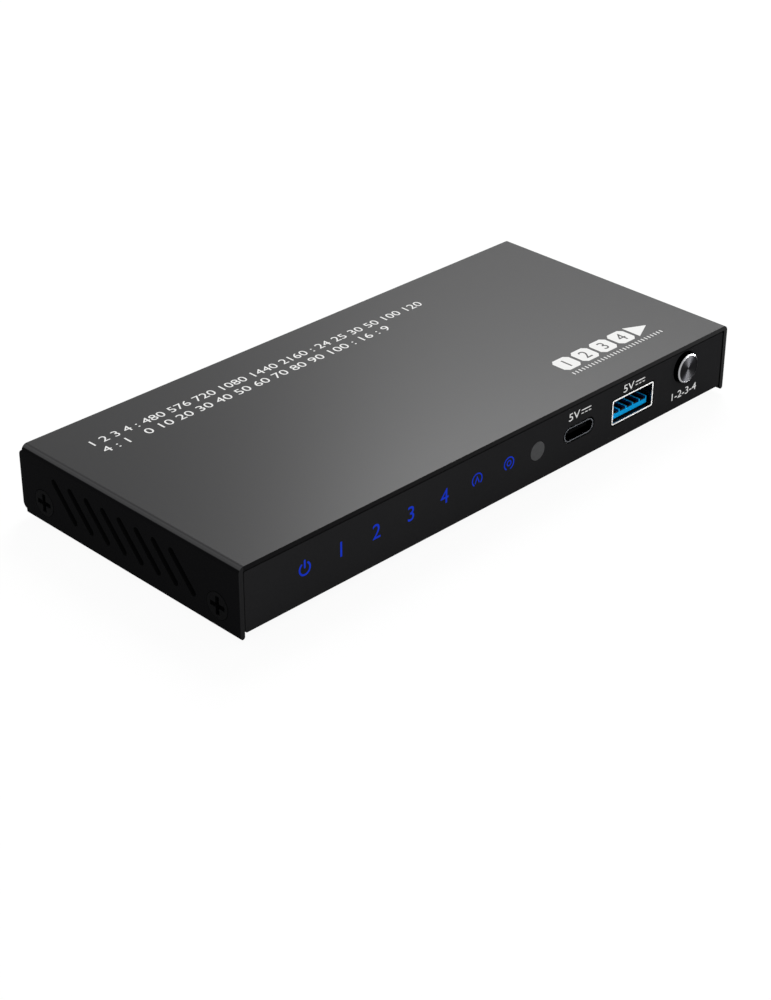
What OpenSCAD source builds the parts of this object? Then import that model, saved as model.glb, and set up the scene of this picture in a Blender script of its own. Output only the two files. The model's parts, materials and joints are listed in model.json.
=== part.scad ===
// Slim desktop switch box for video signals: four inputs and one output at the rear, two charging sockets,
// a row of lit indicators, an infrared window and one round push button at the front.
// A folded cover with slanted vents drops over a folded tray, and one board inside carries every socket.
// X runs to the right along the front, Y to the rear and Z up. The origin is the middle of the whole
// footprint at table height, under the feet.

/* [Cover] */
// Width over the side walls
cover_w = 139.2; // [126:0.2:165]
// Depth from the front edge to the rear edge
cover_d = 63; // [57:0.2:78]
// Height of the side walls, lower edge to top face
cover_h = 15.2; // [13.8:0.2:20]
// Thickness of the sheet that the cover and the tray are folded from
sheet = 1; // [0.8:0.1:1.2]
// Inside radius of the folds
fold_r = 0.3; // [0.2:0.1:0.6]

/* [Vents] */
// Slots in each side wall
vent_count = 8; // [4:1:9]
// Distance from slot to slot along the wall
vent_pitch = 4.94; // [3.5:0.02:5]
// Length of a slot over its round ends
vent_len = 10.1; // [6:0.1:10.6]
// Width of a slot
vent_w = 1.5; // [0.8:0.1:1.8]
// Angle of a slot up from the horizontal, upper end to the rear
vent_angle = 47.5; // [35:0.5:80]
// Middle of the slot row, behind the middle of the side wall
vent_shift = 1.55; // [-2:0.05:2]
// Middle of the slot row, above the lower edge of the side wall
vent_rise = 7.5; // [7:0.1:8]

/* [Cover screws] */
// Distance of the front pair behind the front edge of the cover
screw_front = 6.2; // [5.8:0.1:9]
// Distance of the rear pair before the rear edge of the cover
screw_rear = 6; // [4.6:0.1:9]
// Height of the screws above the lower edge of the side wall
screw_rise = 4.65; // [4.4:0.05:6]
// Diameter of the screw thread
screw_d = 3; // [2.5:0.1:3.2]
// Diameter of the flush head
screw_head_d = 5.6; // [5:0.1:6]
// Length of the screw
screw_len = 4; // [3.4:0.1:4.6]
// Depth to which the wall is dimpled inwards round each screw
dimple_in = 0.8; // [0.6:0.1:1.2]

/* [Tray] */
// Height of the tray's underside above the lower edge of the side walls
tray_tuck = 0.9; // [0.4:0.1:1.2]
// Distance of the front film behind the front edge of the cover
front_inset = 0.15; // [0.1:0.05:0.6]
// Gap between the front wall and each side wall of the cover
side_gap = 0.2; // [0.1:0.05:0.5]
// Gap between the top sheet of the cover and the tray's walls below it
top_gap = 0.25; // [0.15:0.05:0.4]
// Gap between the rear edge of the cover and the rear wall
rear_gap = 0.1; // [0.05:0.05:0.4]
// Depth of the rear wall's top flange
flange_len = 6; // [4:0.5:9]
// Width of each screw tab
tab_w = 7; // [6:0.5:7]
// Width of the bend reliefs beside each tab
tab_relief = 0.6; // [0.4:0.1:0.8]
// Height of each tab above its screw
tab_over = 3.2; // [2.8:0.1:4]
// Thickness of the printed front film
film_t = 0.3; // [0.2:0.05:0.5]

/* [Feet] */
// Height of the rubber feet
foot_h = 1.9; // [1.6:0.1:4]
// Diameter of the feet
foot_d = 9; // [7:0.5:10]
// Distance of each foot's middle from the side of the cover
foot_side = 13; // [10:0.5:22]
// Distance of each foot's middle from the front or rear edge of the cover
foot_edge = 9; // [8:0.5:12]

/* [Board] */
// Gap between the board's side edges and the tips of the cover screws
board_side = 2; // [1:0.1:4]
// Thickness of the board
board_t = 1.6; // [1.4:0.1:1.8]
// Gap between the board and the front and rear walls
board_gap = 0.4; // [0.2:0.1:0.8]
// Height of the standoffs under the board
standoff_h = 2.6; // [2.5:0.1:3.2]
// Outside diameter of the standoffs
standoff_d = 5; // [4.6:0.2:5.6]
// Distance of each standoff from the side edge of the board
standoff_side = 5; // [4:0.5:10]
// Distance of each standoff from the front or rear edge of the board
standoff_edge = 19; // [18:0.5:22]
// Diameter of the board screws' thread
board_screw_d = 3; // [2.5:0.1:3]
// Length of the board screws under the head
board_screw_len = 4; // [3.6:0.2:5]

/* [Indicators] */
// Indicator lamps in the row
lamp_count = 7; // [3:1:7]
// Distance of the first lamp from the left side of the cover
lamp_side = 15.85; // [13:0.05:18]
// Distance of the last lamp from the infrared window
lamp_gap = 8.45; // [8:0.05:14]
// Height of the lamps above the board
lamp_rise = 2.2; // [2.1:0.1:3]
// Diameter of the light guide's posts
post_d = 4; // [3:0.2:4.2]

/* [Infrared window] */
// Distance of the window from the C-type charging socket
window_gap = 12.55; // [11:0.05:16]
// Height of the window above the board
window_rise = 1.7; // [1.6:0.05:3]
// Diameter of the window
window_d = 4.1; // [3:0.1:4.6]

/* [Charging sockets] */
// Distance of the C-type charging socket from the A-type one
charge_c_gap = 17; // [15:0.1:20]
// Distance of the A-type charging socket from the button
charge_a_gap = 16.65; // [16:0.05:20]
// Height of the A-type socket's middle above the board
charge_a_rise = 1.4; // [1.2:0.1:1.6]
// Clearance between a socket and the wall round it
port_clear = 0.35; // [0.2:0.05:0.5]

/* [Select button] */
// Distance of the button from the right side of the cover
button_side = 14; // [12:0.1:16]
// Distance of the button below the upper edge of the front wall
button_drop = 3.9; // [3.9:0.05:5]
// Diameter of the button
button_d = 6.4; // [5.6:0.1:6.6]
// Height of the button above the front film
button_proud = 1.2; // [0.9:0.1:2.2]
// Travel of the button
button_travel = 0.5; // [0.3:0.05:0.6]
// Clearance round the button in the front wall
button_clear = 0.4; // [0.2:0.05:0.45]

/* [Rear sockets] */
// Distance of the round power inlet from the right side of the cover
inlet_side = 15.5; // [14:0.5:18]
// Distance of the video output from the power inlet
output_gap = 19.5; // [18:0.5:22]
// Distance of input 4 from the video output
input_gap = 20; // [18:0.5:26]
// Distance of input 1 from the left side of the cover
input_side = 18.5; // [16:0.5:24]
// How far the rear sockets stand out of the rear wall
socket_proud = 0.6; // [0.4:0.1:1.2]

/* [C-type sockets] */
// Outside width of the shell
c_w = 8.94; // [8.8:0.02:9.4]
// Outside height of the shell
c_h = 3.16; // [3.1:0.02:3.4]
// Thickness of the shell
c_wall = 0.28; // [0.2:0.02:0.32]
// Depth of the shell
c_d = 8; // [7:0.1:10]

/* [A-type socket] */
// Outside width of the shell
a_w = 13.1; // [12.9:0.1:13.6]
// Outside height of the shell
a_h = 5.7; // [5.6:0.1:6]
// Thickness of the shell
a_wall = 0.3; // [0.2:0.05:0.35]
// Outside corner radius of the shell
a_r = 0.5; // [0.4:0.1:1.2]
// Depth of the shell
a_d = 14; // [12:0.5:17]

/* [Video sockets] */
// Outside width of the shell
v_w = 14.6; // [14.4:0.1:15]
// Outside height of the shell
v_h = 5.2; // [5:0.1:5.6]
// Thickness of the shell
v_wall = 0.3; // [0.2:0.05:0.35]
// Bevel of the two lower corners
v_bevel = 1.9; // [1.5:0.1:2.1]
// Depth of the shell
v_d = 11.8; // [10:0.2:14]

/* [Power inlet] */
// Bore of the inlet
inlet_bore = 5.7; // [5.5:0.1:6]
// Diameter of the centre pin
inlet_pin_d = 2; // [1.6:0.1:2.5]
// Depth of the inlet's block behind the rear wall
inlet_d = 11; // [10.5:0.5:13]
// Height of the inlet's middle above the board
inlet_rise = 1.9; // [1.8:0.1:2.1]

/* [Hidden] */
$fn = 48;
// Overlap of a cutter past the face that it cuts
cut = 0.5;
// Running clearance of a piece in its hole
fit_clear = 0.1;
// Outside radius of the folds
fold_out = fold_r + sheet;
// Heights of the tray, the cover and the board
tray_z0 = foot_h;
floor_z = tray_z0 + sheet;
cover_z0 = tray_z0 - tray_tuck;
cover_z1 = cover_z0 + cover_h;
ceiling_z = cover_z1 - sheet;
wall_top = ceiling_z - top_gap;
board_z0 = floor_z + standoff_h;
board_z1 = board_z0 + board_t;
// Depths, with the whole reach from the button's face to the rear sockets centred on the origin
rear_proud = rear_gap + sheet;
front_reach = max(0, button_proud - front_inset);
rear_reach = rear_proud + socket_proud;
cover_y0 = front_reach - (front_reach + cover_d + rear_reach) / 2;
cover_y1 = cover_y0 + cover_d;
cover_mid = (cover_y0 + cover_y1) / 2;
film_y = cover_y0 + front_inset;
front_y = film_y + film_t;
front_in = front_y + sheet;
rear_y = cover_y1 + rear_proud;
rear_in = rear_y - sheet;
board_y0 = front_in + board_gap;
board_y1 = rear_in - board_gap;
board_mid = (board_y0 + board_y1) / 2;
// Widths of the cover's inside, of the tray's parts and of the board
inner_w = cover_w - 2 * sheet;
plate_w = inner_w - 2 * dimple_in;
front_w = inner_w - 2 * side_gap;
rear_w = cover_w - 2 * fit_clear;
board_w = cover_w - 2 * (screw_len + board_side);
film_r = 0.4;
// Cover screws, their countersinks and the dimples round them
screw_ys = [cover_y0 + screw_front, cover_y1 - screw_rear];
screw_z = cover_z0 + screw_rise;
screw_hole_d = screw_d + 4 * fit_clear;
sink_d = screw_head_d + 3 * fit_clear;
sink_in = (sink_d - screw_hole_d) / 2;
head_in = (screw_head_d - screw_d) / 2;
dimple_foot = 1.3;
dimple_rim = 0.5;
tip_len = 0.4;
tip_in = 0.3;
// Cross recess of every screw, wide at the head's face and narrower below
recess_len = 3.9;
recess_w = 1;
recess_in = 0.6;
recess_core = 2.4;
recess_core_in = 1.2;
// Feet
foot_x = cover_w / 2 - foot_side;
foot_ys = [cover_y0 + foot_edge, cover_y1 - foot_edge];
foot_bevel = 0.4;
// Board screws and standoffs
standoff_x = board_w / 2 - standoff_side;
standoff_ys = [board_y0 + standoff_edge, board_y1 - standoff_edge];
standoff_wall = 0.5;
pilot_d = standoff_d - 2 * standoff_wall;
stand_bore_d = board_screw_d + fit_clear;
board_hole_d = board_screw_d + 2 * fit_clear;
board_head_lip = 1.2;
board_head_d = board_screw_d + 2 * board_head_lip;
board_head_h = 1.6;
head_bevel_h = 0.5;
head_bevel = 0.7;
// Places along the front, the right-hand group from the right side and the lamps spread over the rest
button_x = cover_w / 2 - button_side;
charge_a_x = button_x - charge_a_gap;
charge_c_x = charge_a_x - charge_c_gap;
window_x = charge_c_x - window_gap;
lamp_x = lamp_side - cover_w / 2;
lamp_end = window_x - lamp_gap;
lamp_pitch = (lamp_end - lamp_x) / (lamp_count - 1);
// Places along the rear, with the inputs spread over what the inlet and the output leave
inlet_x = cover_w / 2 - inlet_side;
output_x = inlet_x - output_gap;
input_4_x = output_x - input_gap;
input_1_x = input_side - cover_w / 2;
input_pitch = (input_4_x - input_1_x) / 3;
video_places = [input_1_x + input_pitch, input_1_x + 2 * input_pitch, input_4_x, output_x];
// Heights along the front
lamp_z = board_z1 + lamp_rise;
window_z = board_z1 + window_rise;
c_mid_z = board_z1 + c_h / 2;
a_mid_z = board_z1 + charge_a_rise;
button_z = wall_top - button_drop;
// Light guide and lamps
guide_gap = 0.2;
guide_y0 = board_y0 + guide_gap;
guide_d = 3;
guide_h = 2 * lamp_rise - 2 * fit_clear;
guide_end = 0.5;
lamp_w = 1.6;
lamp_d = 0.9;
lamp_h = 1.4;
// Infrared window's flange and the receiver behind it
window_lip = 0.5;
receiver_gap = 1.8;
receiver_w = 5.3;
receiver_d = 4;
lens_d = 2 * window_rise - 2 * fit_clear;
// The A-type socket's tongue and wings
a_tongue_w = 11.1;
a_tongue_t = 1.6;
a_tongue_top = -0.5;
a_tongue_y = 0.85;
a_bays = 5;
a_bay_pitch = 2.16;
a_bay_w = 1.8;
a_bay_in = 0.55;
a_pin_w = 1.2;
a_block_d = 4.5;
a_wing_y = 7;
a_wing_d = 4.6;
wing_t = 0.4;
wing_w = 1.8;
// The C-type sockets' tongue
c_tongue_w = 6.69;
c_tongue_t = 0.7;
c_tongue_y = 0.9;
c_block_d = 2.6;
c_pins = 12;
c_pin_w = 0.25;
c_pin_pitch = 0.5;
c_pin_y = c_tongue_y + 0.4;
// The video sockets' tongue
v_tongue_w = 10.4;
v_tongue_t = 1.1;
v_tongue_y = 1.2;
v_tongue_up = 0.25;
v_block_d = 3.6;
v_pins = 10;
v_pin_w = 0.4;
v_pin_pitch = 1;
v_pin_y = v_tongue_y + 0.5;
// Strip thickness of the contacts
pin_t = 0.1;
// Solder legs of the sockets
leg_w = 1;
leg_t = 0.3;
leg_out = 0.7;
leg_step = 4;
// Power inlet
inlet_z = board_z1 + inlet_rise;
inlet_w = 9;
inlet_wall = 0.6;
inlet_h = inlet_bore + 2 * inlet_wall;
inlet_back = 1.4;
inlet_wing_d = 6.6;
inlet_face = rear_in - 2 * fit_clear;
nose_wall = 0.65;
nose_d = inlet_bore + 2 * nose_wall;
nose_out = socket_proud - 2 * fit_clear;
bore_d = inlet_d - inlet_back;
groove_w = 1.8;
groove_in = 0.5;
groove_d = bore_d - 1;
spring_t = 0.2;
pin_back = 0.6;
// Select button and switch
flange_lip = 0.4;
flange_d = button_d + 2 * (button_clear + flange_lip);
flange_t = 0.8;
cap_bevel = 0.25;
cap_dish = 0.12;
flange_y0 = front_in + fit_clear;
flange_y1 = flange_y0 + flange_t;
switch_gap = 0.3;
switch_y0 = flange_y1 + button_travel + switch_gap;
plate_t = 0.3;
switch_y1 = switch_y0 + plate_t;
switch_w = 6.4;
switch_h = button_z + switch_w / 2 - board_z1;
switch_d = 3.6;
stem_d = 3.4;
stem_grip = 1.2;
stem_in = 1.6;
stem_clear = 0.3;
dome_h = 0.3;
dome_slope = 1;
cavity_d = stem_in + button_travel + dome_h + fit_clear;
notch_w = flange_d + 4 * fit_clear;
// Switching chip, its heat sink and its crystal
chip_w = 14;
chip_h = 1.2;
tape_in = 0.5;
tape_t = 0.25;
sink_w = 15;
sink_h = 4.2;
sink_base = 1.2;
fin_count = 6;
fin_t = 1;
crystal_w = 3.2;
crystal_d = 2.5;
crystal_h = 0.8;
crystal_r = 0.3;
crystal_gap = 6.4;
// Port chips before the video sockets
port_chip_w = 7;
port_chip_d = 5;
port_chip_h = 0.9;
port_chip_gap = 5;
port_chip_y = rear_y + socket_proud - v_d - port_chip_gap - port_chip_d;
// Inductors and capacitors in two rows, with equal gaps from the A-type socket back to the port chips
power_x = (charge_c_x + charge_a_x) / 2;
power_pitch = 10;
inductor_w = 6;
inductor_h = 3.2;
inductor_r = 0.8;
can_d = 6.2;
can_h = 5.6;
can_base_w = 6.6;
can_base_h = 0.8;
can_base_r = 0.6;
a_end = film_y + fit_clear + a_d;
power_gap = (port_chip_y - a_end - inductor_w - can_base_w) / 3;
inductor_y = a_end + power_gap + inductor_w / 2;
can_y = port_chip_y - power_gap - can_base_w / 2;

// Extrudes a shape drawn in X and Z along Y, from y = 0
module along_y(len) {
    translate([0, len, 0]) rotate([90, 0, 0]) linear_extrude(len) children();
}

// Extrudes a shape drawn in Y and Z along X, centred on x = 0
module along_x(len) {
    rotate([90, 0, 90]) translate([0, 0, -len / 2]) linear_extrude(len) children();
}

// Cylinder or cone that starts at y = 0 and runs to the rear
module rod_y(len, d1, d2) {
    rotate([-90, 0, 0]) cylinder(h = len, d1 = d1, d2 = d2);
}

// Cylinder or cone that starts at x = 0 and runs to the right
module rod_x(len, d1, d2) {
    rotate([0, 90, 0]) cylinder(h = len, d1 = d1, d2 = d2);
}

// Cross of the given span that the recess of a screw is cut with
module cross(len) {
    square([len, recess_w], center = true);
    square([recess_w, len], center = true);
}

// Draws its children on the left and, mirrored, on the right
module both_sides() {
    children();
    mirror([1, 0, 0]) children();
}

// Rectangle with round corners, centred
module round_rect(w, h, r) {
    square([w - 2 * r, h], center = true);
    square([w, h - 2 * r], center = true);
    for (sx = [-1, 1], sy = [-1, 1]) {
        translate([sx * (w / 2 - r), sy * (h / 2 - r)]) circle(r);
    }
}

// Slot with round ends, centred
module stadium(w, h) {
    square([w - h, h], center = true);
    for (sx = [-1, 1]) {
        translate([sx * (w - h) / 2, 0]) circle(d = h);
    }
}

// Outline of a video socket, wide side up, grown by g on every side
module video_shape(g) {
    w = v_w / 2 + g;
    h = v_h / 2 + g;
    b = v_bevel + g * (2 - sqrt(2));
    polygon([[-w, h], [-w, b - h], [b - w, -h], [w - b, -h], [w, b - h], [w, h]]);
}

// Quarter of a fold in the corner that the signs point to, round the point [0, 0]
module fold(sx, sy) {
    intersection() {
        difference() {
            circle(fold_out);
            circle(fold_r);
        }
        translate([min(0, sx * fold_out), min(0, sy * fold_out)]) square(fold_out);
    }
}

// Cross-section of the cover in X and Z, with round lower edges
module cover_profile() {
    difference() {
        union() {
            translate([-cover_w / 2, cover_z0 + sheet / 2]) {
                square([cover_w, cover_h - sheet / 2 - fold_out]);
            }
            translate([fold_out - cover_w / 2, cover_z1 - fold_out]) {
                square([cover_w - 2 * fold_out, fold_out]);
            }
            for (sx = [-1, 1]) {
                translate([sx * (cover_w / 2 - fold_out), cover_z1 - fold_out]) circle(fold_out);
            }
        }
        translate([-inner_w / 2, cover_z0 - cut]) square([inner_w, cover_h + cut - fold_out]);
        translate([fold_r - inner_w / 2, ceiling_z - fold_r - cut]) {
            square([inner_w - 2 * fold_r, fold_r + cut]);
        }
        for (sx = [-1, 1]) {
            translate([sx * (inner_w / 2 - fold_r), ceiling_z - fold_r]) circle(fold_r);
        }
    }
    for (sx = [-1, 1]) {
        translate([sx * (cover_w - sheet) / 2, cover_z0 + sheet / 2]) circle(d = sheet);
    }
}

// Slanted vent slot number i in the left wall
module vent(i) {
    y = cover_mid + vent_shift + (i - (vent_count - 1) / 2) * vent_pitch;
    translate([(sheet - cover_w) / 2, y, cover_z0 + vent_rise]) {
        along_x(sheet + 2 * cut) rotate(vent_angle) stadium(vent_len, vent_w);
    }
}

// Cover: top and two side walls in one folded sheet, vented and dimpled for flush screws
module top_cover() {
    color("dimgray") difference() {
        union() {
            translate([0, cover_y0, 0]) along_y(cover_d) cover_profile();
            both_sides() {
                for (y = screw_ys) {
                    translate([-(inner_w + sheet) / 2, y, screw_z]) {
                        rod_x(sheet / 2 + dimple_in, sink_d + 2 * dimple_foot, sink_d + 2 * dimple_rim);
                    }
                }
            }
        }
        both_sides() {
            for (y = screw_ys) {
                translate([-cover_w / 2 - cut, y, screw_z]) {
                    rod_x(sink_in + cut, sink_d + 2 * cut, screw_hole_d);
                    rod_x(sheet + dimple_in + 2 * cut, screw_hole_d, screw_hole_d);
                }
            }
            for (i = [0 : vent_count - 1]) vent(i);
        }
    }
}

// Cut-outs that the front wall and the front film share, in X and Z
module front_ports() {
    translate([charge_c_x, c_mid_z]) stadium(c_w + 2 * port_clear, c_h + 2 * port_clear);
    translate([charge_a_x, a_mid_z]) {
        round_rect(a_w + 2 * port_clear, a_h + 2 * port_clear, a_r + port_clear);
    }
    translate([button_x, button_z]) circle(d = button_d + 2 * button_clear);
    translate([window_x, window_z]) circle(d = window_d + 2 * fit_clear);
}

// Cut-outs of the rear wall, in X and Z
module rear_ports() {
    for (x = video_places) {
        translate([x, board_z1 + v_h / 2]) video_shape(port_clear);
    }
    translate([input_1_x, c_mid_z]) stadium(c_w + 2 * port_clear, c_h + 2 * port_clear);
    translate([inlet_x, inlet_z]) circle(d = nose_d + 2 * port_clear);
}

// Front wall and its fold, in Y and Z
module front_profile() {
    translate([front_y, tray_z0 + fold_out]) square([sheet, wall_top - tray_z0 - fold_out]);
    translate([front_y + fold_out, tray_z0 + fold_out]) fold(-1, -1);
}

// Rear wall with its lower fold and its upper fold, in Y and Z
module rear_profile() {
    translate([rear_in, tray_z0 + fold_out]) square([sheet, wall_top - tray_z0 - 2 * fold_out]);
    translate([rear_y - fold_out, tray_z0 + fold_out]) fold(1, -1);
    translate([rear_y - fold_out, wall_top - fold_out]) fold(1, 1);
}

// Left screw tab, folded up from the edge of the floor
module tab(y) {
    tab_h = screw_z + tab_over - tray_z0 - fold_out;
    translate([fold_out - plate_w / 2, y - tab_w / 2, tray_z0 + fold_out]) along_y(tab_w) fold(-1, -1);
    translate([(sheet - plate_w) / 2, y, tray_z0 + fold_out]) along_x(sheet) {
        translate([-tab_w / 2, 0]) square([tab_w, tab_h - sheet]);
        translate([sheet - tab_w / 2, 0]) square([tab_w - 2 * sheet, tab_h]);
        for (sy = [-1, 1]) {
            translate([sy * (tab_w / 2 - sheet), tab_h - sheet]) circle(sheet);
        }
    }
}

// Tray: floor, front wall and flanged rear wall in one folded sheet, with four tabs for the cover screws
module base_tray() {
    color("black") difference() {
        union() {
            difference() {
                union() {
                    along_x(plate_w) {
                        translate([front_y + fold_out, tray_z0]) {
                            square([rear_y - front_y - 2 * fold_out, sheet]);
                        }
                        front_profile();
                        rear_profile();
                        translate([rear_y - flange_len, wall_top - sheet]) {
                            square([flange_len - fold_out, sheet]);
                        }
                    }
                    along_x(front_w) front_profile();
                    along_x(rear_w) intersection() {
                        rear_profile();
                        translate([rear_in, 0]) square([sheet, cover_z1]);
                    }
                }
                both_sides() {
                    for (y = screw_ys) {
                        translate([-plate_w / 2 - cut, y - tab_w / 2 - tab_relief, tray_z0 - cut]) {
                            cube([fold_out + cut, tab_w + 2 * tab_relief, sheet + 2 * cut]);
                        }
                    }
                }
            }
            both_sides() {
                for (y = screw_ys) tab(y);
            }
        }
        both_sides() {
            for (y = screw_ys) {
                translate([-plate_w / 2 - cut, y, screw_z]) {
                    rod_x(sheet + 2 * cut, screw_d + fit_clear, screw_d + fit_clear);
                }
            }
        }
        translate([0, front_y - cut, 0]) along_y(sheet + 2 * cut) {
            front_ports();
            for (i = [0 : lamp_count - 1]) {
                translate([lamp_x + i * lamp_pitch, lamp_z]) circle(d = post_d + 2 * fit_clear);
            }
        }
        translate([0, rear_in - cut, 0]) along_y(sheet + 2 * cut) rear_ports();
        for (sx = [-1, 1], y = standoff_ys) {
            translate([sx * standoff_x, y, tray_z0 - cut]) {
                cylinder(h = sheet + 2 * cut, d = pilot_d + fit_clear);
            }
        }
    }
}

// Printed film on the front wall
module front_film() {
    film_h = wall_top - tray_z0 - 2 * fit_clear;
    color("black") translate([0, film_y, 0]) along_y(film_t) difference() {
        translate([0, (wall_top + tray_z0) / 2]) round_rect(front_w - 2 * fit_clear, film_h, film_r);
        front_ports();
    }
}

// Flush screw with a cross recess, head at x = 0 and thread to the right
module flush_screw() {
    difference() {
        union() {
            rod_x(head_in, screw_head_d, screw_d);
            rod_x(screw_len - tip_len, screw_d, screw_d);
            translate([screw_len - tip_len, 0, 0]) rod_x(tip_len, screw_d, screw_d - 2 * tip_in);
        }
        along_x(2 * recess_in) cross(recess_len);
        along_x(2 * recess_core_in) cross(recess_core);
    }
}

// Four screws that hold the cover to the tray's tabs
module cover_screws() {
    color("black") both_sides() {
        for (y = screw_ys) {
            translate([-cover_w / 2, y, screw_z]) flush_screw();
        }
    }
}

// Four stick-on feet with bevelled lower edges
module rubber_feet() {
    color("darkslategray") for (sx = [-1, 1], y = foot_ys) {
        translate([sx * foot_x, y, 0]) {
            cylinder(h = foot_bevel, d1 = foot_d - 2 * foot_bevel, d2 = foot_d);
            translate([0, 0, foot_bevel]) cylinder(h = foot_h - foot_bevel, d = foot_d);
        }
    }
}

// Button cap: bevelled and slightly dished face, a flange behind the wall and a bore for the stem
module select_button() {
    face_y = film_y - button_proud;
    color("silver") translate([button_x, face_y, button_z]) difference() {
        union() {
            rod_y(cap_bevel, button_d - 2 * cap_bevel, button_d);
            translate([0, cap_bevel, 0]) rod_y(flange_y0 - face_y - cap_bevel, button_d, button_d);
            translate([0, flange_y0 - face_y, 0]) rod_y(flange_t, flange_d, flange_d);
        }
        rod_y(cap_dish, button_d - 3 * cap_bevel, button_d - 5 * cap_bevel);
        translate([0, flange_y1 - face_y - stem_grip, 0]) {
            rod_y(stem_grip + cut, stem_d + fit_clear, stem_d + fit_clear);
        }
    }
}

// Stem of the switch, from inside the button cap into the switch body
module switch_stem() {
    stem_y = flange_y1 - stem_grip;
    color("white") translate([button_x, stem_y, button_z]) {
        rod_y(switch_y1 + stem_in - stem_y, stem_d, stem_d);
    }
}

// Steel face plate of the switch
module switch_plate() {
    color("silver") translate([button_x, switch_y0, board_z1]) along_y(plate_t) difference() {
        translate([-switch_w / 2, 0]) square([switch_w, switch_h]);
        translate([0, button_z - board_z1]) circle(d = stem_d + 2 * stem_clear);
    }
}

// Switch body on the board, open at the front for the stem
module switch_body() {
    color("black") difference() {
        translate([button_x - switch_w / 2, switch_y1, board_z1]) cube([switch_w, switch_d, switch_h]);
        translate([button_x, switch_y1 - cut, button_z]) {
            rod_y(cavity_d + cut, stem_d + 2 * stem_clear, stem_d + 2 * stem_clear);
        }
    }
}

// Snap dome at the end of the switch's cavity, in its pressed form
module switch_dome() {
    color("gold") translate([button_x, switch_y1 + cavity_d - dome_h, button_z]) difference() {
        rod_y(dome_h, stem_d - 2 * dome_slope, stem_d);
        translate([0, pin_t, 0]) rod_y(dome_h, stem_d - 2 * (dome_slope + pin_t), stem_d - 2 * pin_t);
    }
}

// Tinted window before the infrared receiver, flush with the film and flanged behind the wall
module ir_window() {
    color("gray") translate([window_x, film_y, window_z]) {
        rod_y(film_t + sheet, window_d, window_d);
        translate([0, film_t + sheet, 0]) {
            rod_y(board_gap, window_d + 2 * window_lip, window_d + 2 * window_lip);
        }
    }
}

// Infrared receiver on the board, with its domed lens behind the window
module ir_receiver() {
    color("black") translate([window_x, board_y0 + receiver_gap, board_z1]) {
        translate([-receiver_w / 2, 0, 0]) cube([receiver_w, receiver_d, 2 * window_rise]);
        translate([0, 0, window_rise]) sphere(d = lens_d);
    }
}

// Clear bar with one round post per lamp, through the front wall to the film
module light_guide() {
    bar_side = post_d / 2 + guide_end;
    color("white") {
        translate([lamp_x - bar_side, guide_y0, board_z1]) {
            cube([lamp_end - lamp_x + 2 * bar_side, guide_d, guide_h]);
        }
        for (i = [0 : lamp_count - 1]) {
            translate([lamp_x + i * lamp_pitch, front_y, lamp_z]) {
                rod_y(guide_y0 - front_y + guide_d / 2, post_d, post_d);
            }
        }
    }
}

// One lamp behind each post
module indicator_lamps() {
    color("blue") for (i = [0 : lamp_count - 1]) {
        translate([lamp_x + i * lamp_pitch - lamp_w / 2, guide_y0 + guide_d + fit_clear, board_z1]) {
            cube([lamp_w, lamp_d, lamp_h]);
        }
    }
}

// Places a socket whose mouth is at y = 0 and whose depth runs along +Y, behind the front film
module at_front(x) {
    translate([x, film_y + fit_clear, board_z1]) children();
}

// Places the same socket in the rear wall, turned round
module at_rear(x) {
    translate([x, rear_y + socket_proud, board_z1]) rotate(180) children();
}

// Plan of four solder legs under a shell of the given width and depth, each grown by g
module leg_plan(w, d, g) {
    for (sx = [-1, 1], y = [d - leg_w - leg_step, d - leg_w]) {
        translate([sx * (w - leg_t) / 2 - leg_t / 2 - g, y - leg_w / 2 - g]) {
            square([leg_t + 2 * g, leg_w + 2 * g]);
        }
    }
}

// Solder legs from the given height down through the board
module legs(w, d, top) {
    translate([0, 0, -board_t - leg_out]) linear_extrude(top + board_t + leg_out) leg_plan(w, d, 0);
}

// C-type shell: a slot-shaped tube with solder legs
module c_shell() {
    color("silver") {
        translate([0, 0, c_h / 2]) along_y(c_d) difference() {
            stadium(c_w, c_h);
            stadium(c_w - 2 * c_wall, c_h - 2 * c_wall);
        }
        legs(c_w, c_d, c_h / 2);
    }
}

// C-type insert: the block that closes the shell and its thin tongue
module c_insert() {
    color("black") translate([0, 0, c_h / 2]) {
        translate([0, c_d - c_block_d, 0]) along_y(c_block_d) {
            stadium(c_w - 2 * c_wall, c_h - 2 * c_wall);
        }
        translate([0, c_tongue_y, 0]) along_y(c_d - c_tongue_y - c_block_d / 2) {
            square([c_tongue_w, c_tongue_t], center = true);
        }
    }
}

// C-type contacts: twelve strips on each face of the tongue
module c_contacts() {
    color("gold") for (i = [0 : c_pins - 1], s = [-1, 1]) {
        x = (i - (c_pins - 1) / 2) * c_pin_pitch;
        z = c_h / 2 + s * (c_tongue_t + pin_t) / 2;
        translate([x - c_pin_w / 2, c_pin_y, z - pin_t / 2]) {
            cube([c_pin_w, c_d - c_block_d - c_pin_y, pin_t]);
        }
    }
}

// A-type shell: a round-cornered tube let into the board's edge, with two wings that rest on the board
module a_shell() {
    color("silver") {
        translate([0, 0, charge_a_rise]) along_y(a_d) difference() {
            round_rect(a_w, a_h, a_r);
            round_rect(a_w - 2 * a_wall, a_h - 2 * a_wall, a_r - a_wall);
        }
        both_sides() {
            translate([a_wall / 2 - a_w / 2 - wing_w, a_wing_y, 0]) cube([wing_w, a_wing_d, wing_t]);
        }
    }
}

// Middle of contact bay number i of the A-type tongue
function bay_x(i) = (i - (a_bays - 1) / 2) * a_bay_pitch;

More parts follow.
